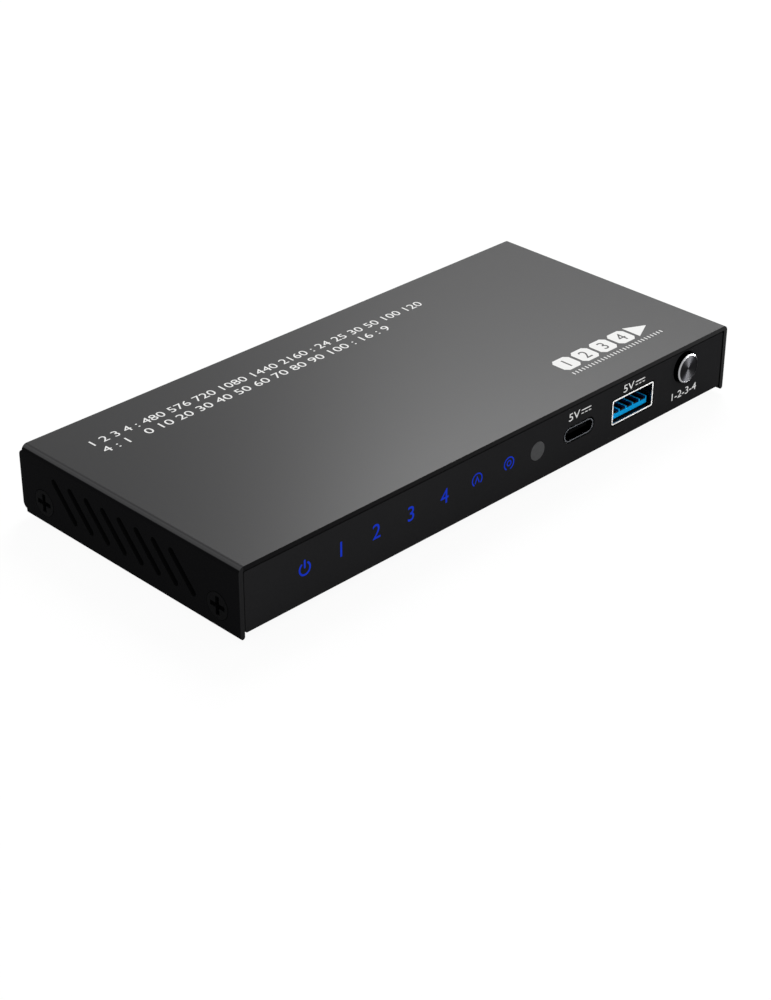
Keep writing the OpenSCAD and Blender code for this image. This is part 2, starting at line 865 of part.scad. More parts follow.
// A-type insert: block and tongue in one, with a row of contact bays open to the tongue's end
module a_insert() {
    color("dodgerblue") translate([0, 0, charge_a_rise]) {
        translate([0, a_d - a_block_d, 0]) along_y(a_block_d) {
            round_rect(a_w - 2 * a_wall, a_h - 2 * a_wall, a_r - a_wall);
        }
        difference() {
            translate([-a_tongue_w / 2, a_tongue_y, a_tongue_top - a_tongue_t]) {
                cube([a_tongue_w, a_d - a_tongue_y - a_block_d / 2, a_tongue_t]);
            }
            for (i = [0 : a_bays - 1]) {
                translate([bay_x(i) - a_bay_w / 2, a_tongue_y - cut, a_tongue_top - a_bay_in]) {
                    cube([a_bay_w, a_d - a_block_d - a_tongue_y + cut, a_bay_in + cut]);
                }
            }
        }
    }
}

// A-type contacts: one strip in each bay
module a_contacts() {
    color("gold") for (i = [0 : a_bays - 1]) {
        y = a_tongue_y + 2 * fit_clear;
        translate([bay_x(i) - a_pin_w / 2, y, charge_a_rise + a_tongue_top - a_bay_in]) {
            cube([a_pin_w, a_d - a_block_d - y, 2 * pin_t]);
        }
    }
}

// Video shell: a bevelled tube on the board, with solder legs
module v_shell() {
    color("silver") {
        translate([0, 0, v_h / 2]) along_y(v_d) difference() {
            video_shape(0);
            video_shape(-v_wall);
        }
        legs(v_w, v_d, v_h / 2);
    }
}

// Video insert: the block that closes the shell and the tongue
module v_insert() {
    color("black") translate([0, 0, v_h / 2]) {
        translate([0, v_d - v_block_d, 0]) along_y(v_block_d) video_shape(-v_wall);
        translate([-v_tongue_w / 2, v_tongue_y, v_tongue_up - v_tongue_t / 2]) {
            cube([v_tongue_w, v_d - v_tongue_y - v_block_d / 2, v_tongue_t]);
        }
    }
}

// Video contacts: ten strips over the tongue and nine under it, half a pitch apart
module v_contacts() {
    color("gold") for (s = [-1, 1]) {
        count = s > 0 ? v_pins : v_pins - 1;
        z = v_h / 2 + v_tongue_up + s * (v_tongue_t + pin_t) / 2;
        for (i = [0 : count - 1]) {
            x = (i - (count - 1) / 2) * v_pin_pitch;
            translate([x - v_pin_w / 2, v_pin_y, z - pin_t / 2]) {
                cube([v_pin_w, v_d - v_block_d - v_pin_y, pin_t]);
            }
        }
    }
}

// Plan of the inlet's block in the board, grown by g
module inlet_plan(g) {
    translate([inlet_x - inlet_w / 2 - g, inlet_face - inlet_d - g]) {
        square([inlet_w + 2 * g, board_y1 - inlet_face + inlet_d + g + cut]);
    }
}

// Power inlet: a bored block with a round nose through the rear wall and two wings on the board
module inlet_body() {
    nose_len = rear_y + nose_out - inlet_face;
    color("black") difference() {
        union() {
            translate([inlet_x - inlet_w / 2, inlet_face - inlet_d, inlet_z - inlet_h / 2]) {
                cube([inlet_w, inlet_d, inlet_h]);
            }
            translate([inlet_x, inlet_face - inlet_back, inlet_z]) {
                rod_y(nose_len + inlet_back, nose_d, nose_d);
            }
            translate([inlet_x - inlet_w / 2 - wing_w, inlet_face - inlet_d, board_z1]) {
                cube([inlet_w + 2 * wing_w, inlet_wing_d, 2 * wing_t]);
            }
        }
        translate([inlet_x, inlet_face - bore_d, inlet_z]) {
            rod_y(bore_d + nose_len + cut, inlet_bore, inlet_bore);
        }
        translate([inlet_x - groove_w / 2, inlet_face - bore_d, inlet_z - inlet_bore / 2 - groove_in]) {
            cube([groove_w, groove_d, inlet_bore / 2]);
        }
    }
}

// Centre pin of the inlet
module inlet_pin() {
    pin_len = bore_d + rear_y - inlet_face - pin_back;
    color("silver") translate([inlet_x, inlet_face - bore_d, inlet_z]) {
        rod_y(pin_len - inlet_pin_d / 2, inlet_pin_d, inlet_pin_d);
        translate([0, pin_len - inlet_pin_d / 2, 0]) sphere(d = inlet_pin_d);
    }
}

// Side spring of the inlet, in the groove under the bore
module inlet_spring() {
    color("gold") translate([inlet_x - groove_w / 2 + fit_clear, inlet_face - bore_d, inlet_z]) {
        translate([0, 0, -inlet_bore / 2 - groove_in]) {
            cube([groove_w - 2 * fit_clear, groove_d - 2 * fit_clear, spring_t]);
        }
    }
}

// Outline of the board with its edge cut-outs, leg slots and screw holes
module board_plan() {
    difference() {
        translate([-board_w / 2, board_y0]) square([board_w, board_y1 - board_y0]);
        translate([charge_a_x - a_w / 2 - 2 * fit_clear, board_y0 - cut]) {
            square([a_w + 4 * fit_clear, film_y + a_d + 3 * fit_clear - board_y0 + cut]);
        }
        translate([button_x - notch_w / 2, board_y0 - cut]) {
            square([notch_w, switch_y0 - fit_clear - board_y0 + cut]);
        }
        inlet_plan(2 * fit_clear);
        translate([charge_c_x, film_y + fit_clear]) leg_plan(c_w, c_d, fit_clear);
        for (x = video_places) {
            translate([x, rear_y + socket_proud]) rotate(180) leg_plan(v_w, v_d, fit_clear);
        }
        translate([input_1_x, rear_y + socket_proud]) rotate(180) leg_plan(c_w, c_d, fit_clear);
        for (sx = [-1, 1], y = standoff_ys) {
            translate([sx * standoff_x, y]) circle(d = board_hole_d);
        }
    }
}

// Board that carries every socket, the switch and the lamps
module main_board() {
    color("darkgreen") translate([0, 0, board_z0]) linear_extrude(board_t) board_plan();
}

// Four standoffs pressed into the floor
module board_standoffs() {
    color("silver") for (sx = [-1, 1], y = standoff_ys) {
        translate([sx * standoff_x, y, tray_z0]) difference() {
            union() {
                cylinder(h = sheet, d = pilot_d);
                translate([0, 0, sheet]) cylinder(h = standoff_h, d = standoff_d);
            }
            translate([0, 0, -cut]) cylinder(h = sheet + standoff_h + 2 * cut, d = stand_bore_d);
        }
    }
}

// Four pan-head screws through the board into the standoffs
module board_screws() {
    color("silver") for (sx = [-1, 1], y = standoff_ys) {
        translate([sx * standoff_x, y, board_z1]) difference() {
            union() {
                translate([0, 0, -board_screw_len]) {
                    cylinder(h = board_screw_len + board_head_h / 2, d = board_screw_d);
                }
                cylinder(h = board_head_h - head_bevel_h, d = board_head_d);
                translate([0, 0, board_head_h - head_bevel_h]) {
                    cylinder(h = head_bevel_h, d1 = board_head_d, d2 = board_head_d - 2 * head_bevel);
                }
            }
            translate([0, 0, board_head_h - recess_in]) linear_extrude(recess_in + cut) cross(recess_len);
            translate([0, 0, board_head_h - recess_core_in]) linear_extrude(recess_core_in) cross(recess_core);
        }
    }
}

// Switching chip in the middle of the board
module switch_chip() {
    color("black") translate([-chip_w / 2, board_mid - chip_w / 2, board_z1]) {
        cube([chip_w, chip_w, chip_h]);
    }
}

// Thermal tape between the chip and the heat sink
module thermal_tape() {
    tape_w = chip_w - 2 * tape_in;
    color("lightgray") translate([-tape_w / 2, board_mid - tape_w / 2, board_z1 + chip_h]) {
        cube([tape_w, tape_w, tape_t]);
    }
}

// Finned heat sink on the chip
module heat_sink() {
    fin_gap = (sink_w - fin_t) / (fin_count - 1);
    color("silver") translate([-sink_w / 2, board_mid - sink_w / 2, board_z1 + chip_h + tape_t]) {
        cube([sink_w, sink_w, sink_base]);
        for (i = [0 : fin_count - 1]) {
            translate([i * fin_gap, 0, 0]) cube([fin_t, sink_w, sink_h]);
        }
    }
}

// Flat port chips before the inputs and the output
module port_chips() {
    color("black") for (x = video_places) {
        translate([x - port_chip_w / 2, port_chip_y, board_z1]) cube([port_chip_w, port_chip_d, port_chip_h]);
    }
}

// Power inductors of the two charging outputs and of the board's own supply
module power_inductors() {
    color("dimgray") for (i = [-1 : 1]) {
        translate([power_x + i * power_pitch, inductor_y, board_z1]) {
            linear_extrude(inductor_h) round_rect(inductor_w, inductor_w, inductor_r);
        }
    }
}

// Can capacitors beside the inductors
module capacitors() {
    color("silver") for (i = [-1 : 1]) {
        translate([power_x + i * power_pitch, can_y, board_z1]) {
            linear_extrude(can_base_h) round_rect(can_base_w, can_base_w, can_base_r);
            cylinder(h = can_h, d = can_d);
        }
    }
}

// Crystal beside the switching chip
module crystal() {
    color("silver") translate([-(chip_w + crystal_w) / 2 - crystal_gap, board_mid, board_z1]) {
        linear_extrude(crystal_h) round_rect(crystal_w, crystal_d, crystal_r);
    }
}

top_cover();
base_tray();
front_film();
cover_screws();
rubber_feet();
select_button();
switch_stem();
switch_plate();
switch_body();
switch_dome();
ir_window();
ir_receiver();
light_guide();
indicator_lamps();
at_front(charge_c_x) c_shell();  // charge_c_shell
at_front(charge_c_x) c_insert();  // charge_c_insert
at_front(charge_c_x) c_contacts();  // charge_c_contacts
at_front(charge_a_x) a_shell();  // charge_a_shell
at_front(charge_a_x) a_insert();  // charge_a_insert
at_front(charge_a_x) a_contacts();  // charge_a_contacts
at_rear(input_1_x) c_shell();  // input_1_shell
at_rear(input_1_x) c_insert();  // input_1_insert
at_rear(input_1_x) c_contacts();  // input_1_contacts
at_rear(video_places[0]) v_shell();  // input_2_shell
at_rear(video_places[0]) v_insert();  // input_2_insert
at_rear(video_places[0]) v_contacts();  // input_2_contacts
at_rear(video_places[1]) v_shell();  // input_3_shell
at_rear(video_places[1]) v_insert();  // input_3_insert
at_rear(video_places[1]) v_contacts();  // input_3_contacts
at_rear(video_places[2]) v_shell();  // input_4_shell
at_rear(video_places[2]) v_insert();  // input_4_insert
at_rear(video_places[2]) v_contacts();  // input_4_contacts
at_rear(video_places[3]) v_shell();  // output_shell
at_rear(video_places[3]) v_insert();  // output_insert
at_rear(video_places[3]) v_contacts();  // output_contacts
inlet_body();
inlet_pin();
inlet_spring();
main_board();
board_standoffs();
board_screws();
switch_chip();
thermal_tape();
heat_sink();
port_chips();
power_inductors();
capacitors();
crystal();
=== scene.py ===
import json
import logging
import math
from dataclasses import dataclass, field
from enum import Enum

import bmesh
import bpy
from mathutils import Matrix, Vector


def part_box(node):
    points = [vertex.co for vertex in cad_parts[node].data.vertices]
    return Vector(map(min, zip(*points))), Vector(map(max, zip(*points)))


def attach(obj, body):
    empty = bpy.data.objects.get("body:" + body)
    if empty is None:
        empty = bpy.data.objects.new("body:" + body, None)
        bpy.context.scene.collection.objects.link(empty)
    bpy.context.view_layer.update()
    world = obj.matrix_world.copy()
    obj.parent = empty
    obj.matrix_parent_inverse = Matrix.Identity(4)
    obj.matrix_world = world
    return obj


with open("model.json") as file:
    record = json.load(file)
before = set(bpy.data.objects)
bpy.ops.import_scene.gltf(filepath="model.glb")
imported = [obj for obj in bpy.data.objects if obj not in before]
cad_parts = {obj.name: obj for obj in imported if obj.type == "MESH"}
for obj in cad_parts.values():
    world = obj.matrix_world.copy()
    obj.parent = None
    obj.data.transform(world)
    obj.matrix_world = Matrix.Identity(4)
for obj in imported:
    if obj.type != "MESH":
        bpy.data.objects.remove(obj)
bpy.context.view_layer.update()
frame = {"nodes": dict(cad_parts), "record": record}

LOG = logging.getLogger("switch_box")
MM = 0.001
# Thickness of printed ink, and its distance from the face that it lies on.
INK_MM = 0.014
LIFT_MM = 0.002


def linear(code: str) -> tuple[float, float, float, float]:
    """Turns an sRGB hex colour into linear light.

    Args:
        code: Colour such as "#1f2022".

    Returns:
        Linear red, green and blue with an alpha of 1.
    """
    parts = [int(code[i:i + 2], 16) / 255 for i in (1, 3, 5)]
    light = [c / 12.92 if c <= 0.04045 else ((c + 0.055) / 1.055) ** 2.4 for c in parts]
    return (light[0], light[1], light[2], 1.0)


def add(tree: bpy.types.NodeTree, kind: str, settings: dict[str, object] | None = None,
        links: dict[str | int, object] | None = None) -> bpy.types.Node:
    """Adds a node, sets it up and links it.

    Args:
        tree: Node tree that the node goes into.
        kind: Type name of the node.
        settings: Properties of the node by name.
        links: Inputs by name or number, each a value or the socket that feeds it.

    Returns:
        The new node.
    """
    node = tree.nodes.new(kind)
    for name, value in (settings or {}).items():
        setattr(node, name, value)
    for key, value in (links or {}).items():
        if isinstance(value, bpy.types.NodeSocket):
            tree.links.new(value, node.inputs[key])
        else:
            node.inputs[key].default_value = value
    return node


@dataclass(frozen=True)
class Finish:
    """A surface finish that becomes one material, named for what the surface is and how it was made."""

    name: str

    def surface(self, tree: bpy.types.NodeTree) -> bpy.types.NodeSocket:
        """Builds the shader and returns its output socket."""
        raise NotImplementedError

    def material(self) -> bpy.types.Material:
        """Builds the material on its first use and returns it.

        Returns:
            The material of this finish.
        """
        made = bpy.data.materials.get(self.name)
        if made is None:
            made = bpy.data.materials.new(self.name)
            made.use_nodes = True
            made.node_tree.nodes.clear()
            add(made.node_tree, "ShaderNodeOutputMaterial", links={"Surface": self.surface(made.node_tree)})
        return made


@dataclass(frozen=True)
class Grained(Finish):
    """Paint, film, rubber or moulded plastic: a fine grain over a soft, wide change of tone."""

    base: str
    tone: str
    grain_mm: float
    bump_mm: float
    roughness: tuple[float, float]
    specular: float
    wide_mm: float = 18.0

    def shaded(self, tree: bpy.types.NodeTree, place: bpy.types.NodeSocket,
               colour: bpy.types.NodeSocket) -> bpy.types.NodeSocket:
        """Returns the colour as it is, for finishes that are the same in every hollow."""
        return colour

    def surface(self, tree: bpy.types.NodeTree) -> bpy.types.NodeSocket:
        """Builds grain, tone and bump from the finish's real sizes.

        Args:
            tree: The material's node tree.

        Returns:
            The shader's output socket.
        """
        place = add(tree, "ShaderNodeTexCoord").outputs["Object"]
        grain = add(tree, "ShaderNodeTexNoise", links={
            "Vector": place, "Scale": 1 / (self.grain_mm * MM), "Detail": 2.0, "Roughness": 0.6})
        wide = add(tree, "ShaderNodeTexNoise", links={
            "Vector": place, "Scale": 1 / (self.wide_mm * MM), "Detail": 3.0, "Roughness": 0.5})
        share = add(tree, "ShaderNodeMix", {"data_type": "FLOAT"}, {
            "Factor": 0.45, 2: grain.outputs["Fac"], 3: wide.outputs["Fac"]})
        colour = add(tree, "ShaderNodeMix", {"data_type": "RGBA"}, {
            "Factor": share.outputs[0], 6: linear(self.base), 7: linear(self.tone)})
        dull = add(tree, "ShaderNodeMapRange", links={
            "Value": grain.outputs["Fac"], "From Min": 0.3, "From Max": 0.7,
            "To Min": self.roughness[0], "To Max": self.roughness[1]})
        relief = add(tree, "ShaderNodeBump", links={
            "Strength": 0.6, "Distance": self.bump_mm * MM, "Height": grain.outputs["Fac"]})
        return add(tree, "ShaderNodeBsdfPrincipled", links={
            "Base Color": self.shaded(tree, place, colour.outputs[2]), "Roughness": dull.outputs["Result"],
            "Specular IOR Level": self.specular, "Normal": relief.outputs["Normal"]}).outputs["BSDF"]


@dataclass(frozen=True)
class BayedTongue(Grained):
    """Moulded tongue with contact bays: full colour on its end and on the crests of its ribs, painted shade deep in the
    bays.
    """

    deep: str = "#000000"
    crest_mm: float = 0.5
    skin_mm: float = 0.03

    def shaded(self, tree: bpy.types.NodeTree, place: bpy.types.NodeSocket,
               colour: bpy.types.NodeSocket) -> bpy.types.NodeSocket:
        """Paints shade, in the deep colour, away from the tongue's end and the crests.

        Args:
            tree: The material's node tree.
            place: Object coordinates.
            colour: Colour of the plastic.

        Returns:
            The shaded colour.
        """
        low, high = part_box("charge_a_insert")
        axes = add(tree, "ShaderNodeSeparateXYZ", links={"Vector": place}).outputs
        # Painted shade: only the tongue's end and the crests keep the blue, and the bays take the deep colour.
        end = add(tree, "ShaderNodeMath", {"operation": "LESS_THAN"}, {0: axes["Y"], 1: low.y + self.skin_mm * MM})
        crest = add(tree, "ShaderNodeMath", {"operation": "COMPARE"}, {
            0: axes["Z"], 1: (low.z + high.z) / 2 - self.crest_mm * MM, 2: self.skin_mm * MM})
        lit = add(tree, "ShaderNodeMath", {"operation": "MAXIMUM"}, {0: end.outputs[0], 1: crest.outputs[0]})
        return add(tree, "ShaderNodeMix", {"data_type": "RGBA"}, {
            "Factor": lit.outputs[0], 6: linear(self.deep), 7: colour}).outputs[2]


@dataclass(frozen=True)
class CoatedCover(Finish):
    """Black powder coat with painted light: grey over the top and half round its folds as a painted sheen, lighter
    still as a painted highlight on the folds, a painted highlight on the left flank's front rim, black below them and
    on every cut edge.
    """

    top: str
    top_tone: str
    fold: str
    flank: str
    flank_tone: str
    rim: str
    grain_mm: float
    wide_mm: float
    bump_mm: float
    top_roughness: float
    flank_roughness: float
    top_shine: float
    flank_shine: float
    fade_mm: tuple[float, float] = (0.6, 0.42)
    fold_mm: tuple[float, float] = (0.03, 0.12)
    cut_mm: tuple[float, float] = (0.04, 0.02)
    rim_mm: float = 1.1
    speck: float = 0.015

    def surface(self, tree: bpy.types.NodeTree) -> bpy.types.NodeSocket:
        """Builds the painted sheen of the top from the height on the bend, a painted highlight on the bend and a
        painted highlight on the front rim of the left flank.

        Args:
            tree: The material's node tree.

        Returns:
            The shader's output socket.
        """
        low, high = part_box("top_cover")
        place = add(tree, "ShaderNodeTexCoord").outputs["Object"]
        axes = add(tree, "ShaderNodeSeparateXYZ", links={"Vector": place}).outputs
        grain = add(tree, "ShaderNodeTexNoise", links={
            "Vector": place, "Scale": 1 / (self.grain_mm * MM), "Detail": 2.0, "Roughness": 0.6})
        wide = add(tree, "ShaderNodeTexNoise", links={
            "Vector": place, "Scale": 1 / (self.wide_mm * MM), "Detail": 3.0, "Roughness": 0.5})
        share = add(tree, "ShaderNodeMix", {"data_type": "FLOAT"}, {
            "Factor": 0.4, 2: grain.outputs["Fac"], 3: wide.outputs["Fac"]})
        height = add(tree, "ShaderNodeMapRange", {"interpolation_type": "SMOOTHSTEP"}, {
            "Value": axes["Z"], "From Min": high.z - self.fade_mm[0] * MM,
            "From Max": high.z - self.fade_mm[1] * MM})
        ahead = add(tree, "ShaderNodeMapRange", links={
            "Value": axes["Y"], "From Min": low.y + self.cut_mm[0] * MM, "From Max": low.y + self.cut_mm[1] * MM})
        behind = add(tree, "ShaderNodeMapRange", links={
            "Value": axes["Y"], "From Min": high.y - self.cut_mm[0] * MM, "From Max": high.y - self.cut_mm[1] * MM})
        cut_edge = add(tree, "ShaderNodeMath", {"operation": "MAXIMUM"}, {
            0: ahead.outputs["Result"], 1: behind.outputs["Result"]})
        # Painted light: the top and the top half of its folds take the grey sheen, and the cut edges stay black.
        lit_top = add(tree, "ShaderNodeMath", {"operation": "SUBTRACT", "use_clamp": True}, {
            0: height.outputs["Result"], 1: cut_edge.outputs[0]})
        # Painted highlight: a lighter strip on the front cut edge of the left flank.
        left = add(tree, "ShaderNodeMath", {"operation": "LESS_THAN"}, {0: axes["X"], 1: low.x + self.rim_mm * MM})
        lit_rim = add(tree, "ShaderNodeMath", {"operation": "MULTIPLY"}, {
            0: ahead.outputs["Result"], 1: left.outputs[0]})
        black = add(tree, "ShaderNodeMix", {"data_type": "RGBA"}, {
            "Factor": share.outputs[0], 6: linear(self.flank), 7: linear(self.flank_tone)})
        edged = add(tree, "ShaderNodeMix", {"data_type": "RGBA"}, {
            "Factor": lit_rim.outputs[0], 6: black.outputs[2], 7: linear(self.rim)})
        grey = add(tree, "ShaderNodeMix", {"data_type": "RGBA"}, {
            "Factor": share.outputs[0], 6: linear(self.top), 7: linear(self.top_tone)})
        # Painted highlight: a lighter band over the lower part of the grey on each bend.
        bent = add(tree, "ShaderNodeMapRange", links={
            "Value": axes["Z"], "From Min": high.z - self.fold_mm[0] * MM, "From Max": high.z - self.fold_mm[1] * MM})
        lit_fold = add(tree, "ShaderNodeMix", {"data_type": "RGBA"}, {
            "Factor": bent.outputs["Result"], 6: grey.outputs[2], 7: linear(self.fold)})
        colour = add(tree, "ShaderNodeMix", {"data_type": "RGBA"}, {
            "Factor": lit_top.outputs[0], 6: edged.outputs[2], 7: lit_fold.outputs[2]})
        dull = add(tree, "ShaderNodeMapRange", links={
            "Value": lit_top.outputs[0], "To Min": self.flank_roughness, "To Max": self.top_roughness})
        shine = add(tree, "ShaderNodeMapRange", links={
            "Value": lit_top.outputs[0], "To Min": self.flank_shine, "To Max": self.top_shine})
        speck = add(tree, "ShaderNodeMapRange", links={
            "Value": grain.outputs["Fac"], "From Min": 0.3, "From Max": 0.7,
            "To Min": -self.speck, "To Max": self.speck})
        rough = add(tree, "ShaderNodeMath", {"operation": "ADD"}, {
            0: dull.outputs["Result"], 1: speck.outputs["Result"]})
        relief = add(tree, "ShaderNodeBump", links={
            "Strength": 0.6, "Distance": self.bump_mm * MM, "Height": grain.outputs["Fac"]})
        return add(tree, "ShaderNodeBsdfPrincipled", links={
            "Base Color": colour.outputs[2], "Roughness": rough.outputs[0],
            "Specular IOR Level": shine.outputs["Result"], "Normal": relief.outputs["Normal"]}).outputs["BSDF"]


@dataclass(frozen=True)
class Plated(Finish):
    """Rolled, drawn or plated metal: streaks along one axis, faint clouding and, in a socket, painted shade deeper than
    its lip.
    """

    base: str
    tone: str
    streak_mm: tuple[float, float, float]
    roughness: tuple[float, float]
    bump_mm: float = 0.004
    inside: str | None = None
    lip_mm: float = 0.04
    fade_mm: float = 0.03
    edge: str = "#ffffff"

    def surface(self, tree: bpy.types.NodeTree) -> bpy.types.NodeSocket:
        """Builds streaks and clouding from the finish's real sizes.

        Args:
            tree: The material's node tree.

        Returns:
            The shader's output socket.
        """
        place = add(tree, "ShaderNodeTexCoord").outputs["Object"]
        stretched = add(tree, "ShaderNodeMapping", links={
            "Vector": place, "Scale": tuple(1 / (s * MM) for s in self.streak_mm)})
        streak = add(tree, "ShaderNodeTexNoise", links={
            "Vector": stretched.outputs["Vector"], "Scale": 1.0, "Detail": 3.0})
        colour = add(tree, "ShaderNodeMix", {"data_type": "RGBA"}, {
            "Factor": streak.outputs["Fac"], 6: linear(self.base), 7: linear(self.tone)})
        # Painted shade: past a socket's lip the metal turns to the dark shade colour.
        if self.inside is not None:
            lip = -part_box("charge_a_shell")[0].y - self.lip_mm * MM
            reach = add(tree, "ShaderNodeMath", {"operation": "ABSOLUTE"}, {
                0: add(tree, "ShaderNodeSeparateXYZ", links={"Vector": place}).outputs["Y"]})
            mouth = add(tree, "ShaderNodeMapRange", links={
                "Value": reach.outputs[0], "From Min": lip - self.fade_mm * MM, "From Max": lip})
            colour = add(tree, "ShaderNodeMix", {"data_type": "RGBA"}, {
                "Factor": mouth.outputs["Result"], 6: linear(self.inside), 7: colour.outputs[2]})
        dull = add(tree, "ShaderNodeMapRange", links={
            "Value": streak.outputs["Fac"], "From Min": 0.3, "From Max": 0.7,
            "To Min": self.roughness[0], "To Max": self.roughness[1]})
        relief = add(tree, "ShaderNodeBump", links={
            "Strength": 0.4, "Distance": self.bump_mm * MM, "Height": streak.outputs["Fac"]})
        return add(tree, "ShaderNodeBsdfPrincipled", links={
            "Base Color": colour.outputs[2], "Metallic": 1.0, "Roughness": dull.outputs["Result"],
            "Specular Tint": linear(self.edge), "Normal": relief.outputs["Normal"]}).outputs["BSDF"]


@dataclass(frozen=True)
class SpunCap(Finish):
    """Turned cap: spun face, diamond-cut bevel and dark anodised side drawn near black as painted shade, all round one
    axis along Y.
    """

    face: str
    ring: str
    side: str
    edge: str
    groove_mm: float
    bevel_mm: float
    blur_mm: float = 0.02
    face_roughness: tuple[float, float] = (0.52, 0.58)
    bevel_roughness: float = 0.2
    pull: float = 0.92

    def surface(self, tree: bpy.types.NodeTree) -> bpy.types.NodeSocket:
        """Builds the three turned zones from the distance to the cap's axis and to its face.

        Args:
            tree: The material's node tree.

        Returns:
            The shader's output socket.
        """
        low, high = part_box("select_button")
        axis = ((low.x + high.x) / 2, low.y, (low.z + high.z) / 2)
        reach = add(tree, "ShaderNodeVectorMath", {"operation": "SUBTRACT"}, {
            0: add(tree, "ShaderNodeTexCoord").outputs["Object"], 1: axis})
        depth = add(tree, "ShaderNodeSeparateXYZ", links={"Vector": reach.outputs["Vector"]}).outputs["Y"]
        spoke = add(tree, "ShaderNodeVectorMath", {"operation": "MULTIPLY"}, {
            0: reach.outputs["Vector"], 1: (1.0, 0.0, 1.0)})
        radius = add(tree, "ShaderNodeVectorMath", {"operation": "LENGTH"}, {0: spoke.outputs["Vector"]})
        tangent = add(tree, "ShaderNodeVectorMath", {"operation": "NORMALIZE"}, {0: spoke.outputs["Vector"]})
        rim_r = SelectButton().radius_mm * MM
        bevel = add(tree, "ShaderNodeMapRange", links={
            "Value": radius.outputs["Value"], "From Min": rim_r - (self.bevel_mm + self.blur_mm) * MM,
            "From Max": rim_r - (self.bevel_mm - self.blur_mm) * MM})
        behind = add(tree, "ShaderNodeMapRange", links={
            "Value": depth, "From Min": self.bevel_mm * MM, "From Max": (self.bevel_mm + 2 * self.blur_mm) * MM})
        rings = add(tree, "ShaderNodeMath", {"operation": "SINE"}, {0: add(tree, "ShaderNodeMath", {
            "operation": "MULTIPLY"}, {0: radius.outputs["Value"],
                                       1: 2 * math.pi / (self.groove_mm * MM)}).outputs[0]})
        flecks = add(tree, "ShaderNodeTexNoise", {"noise_dimensions": "1D"}, {
            "W": radius.outputs["Value"], "Scale": 1 / (self.groove_mm * MM), "Detail": 2.0})
        turned = add(tree, "ShaderNodeMix", {"data_type": "RGBA"}, {
            "Factor": bevel.outputs["Result"], 6: linear(self.face), 7: linear(self.ring)})
        # Painted shade: the side behind the bevel takes the near-black side colour.
        colour = add(tree, "ShaderNodeMix", {"data_type": "RGBA"}, {
            "Factor": behind.outputs["Result"], 6: turned.outputs[2], 7: linear(self.side)})
        dull = add(tree, "ShaderNodeMapRange", links={
            "Value": flecks.outputs["Fac"], "From Min": 0.3, "From Max": 0.7,
            "To Min": self.face_roughness[0], "To Max": self.face_roughness[1]})
        rough = add(tree, "ShaderNodeMix", {"data_type": "FLOAT"}, {
            "Factor": bevel.outputs["Result"], 2: dull.outputs["Result"], 3: self.bevel_roughness})
        relief = add(tree, "ShaderNodeBump", links={
            "Strength": 0.25, "Distance": 0.003 * MM, "Height": rings.outputs[0]})
        return add(tree, "ShaderNodeBsdfPrincipled", links={
            "Base Color": colour.outputs[2], "Metallic": 1.0, "Roughness": rough.outputs[0],
            "Anisotropic": self.pull, "Tangent": tangent.outputs["Vector"], "Specular Tint": linear(self.edge),
            "Normal": relief.outputs["Normal"]}).outputs["BSDF"]


@dataclass(frozen=True)
class SolderMask(Finish):
    """Lacquered board: green mask over straight copper runs, with a pale weave of the glass cloth."""

    base: str
    copper: str
    run_mm: float

    def surface(self, tree: bpy.types.NodeTree) -> bpy.types.NodeSocket:
        """Builds the runs from stepped noise on a grid of the run's real width.

        Args:
            tree: The material's node tree.

        Returns:
            The shader's output socket.
        """
        place = add(tree, "ShaderNodeTexCoord").outputs["Object"]
        runs = add(tree, "ShaderNodeTexBrick", {"offset": 0.35, "squash": 2.5}, {
            "Vector": place, "Scale": 1 / (8 * self.run_mm * MM), "Mortar Size": 0.06, "Mortar Smooth": 0.1,
            "Color1": linear(self.base), "Color2": linear(self.base), "Mortar": linear(self.copper)})
        cloth = add(tree, "ShaderNodeTexNoise", links={"Vector": place, "Scale": 1 / (0.5 * MM)})
        dull = add(tree, "ShaderNodeMapRange", links={
            "Value": cloth.outputs["Fac"], "To Min": 0.3, "To Max": 0.5})
        return add(tree, "ShaderNodeBsdfPrincipled", links={
            "Base Color": runs.outputs["Color"], "Roughness": dull.outputs["Result"]}).outputs["BSDF"]


@dataclass(frozen=True)
class ClearPlastic(Finish):
    """Moulded clear plastic: sees through with faint flow lines."""

    base: str
    flow_mm: float

    def surface(self, tree: bpy.types.NodeTree) -> bpy.types.NodeSocket:
        """Builds the clear shader with flow lines in its roughness.

        Args:
            tree: The material's node tree.

        Returns:
            The shader's output socket.
        """
        place = add(tree, "ShaderNodeTexCoord").outputs["Object"]
        flow = add(tree, "ShaderNodeTexNoise", links={"Vector": place, "Scale": 1 / (self.flow_mm * MM)})
        dull = add(tree, "ShaderNodeMapRange", links={
            "Value": flow.outputs["Fac"], "To Min": 0.05, "To Max": 0.2})
        return add(tree, "ShaderNodeBsdfPrincipled", links={
            "Base Color": linear(self.base), "Roughness": dull.outputs["Result"], "IOR": 1.49,
            "Transmission Weight": 0.9}).outputs["BSDF"]


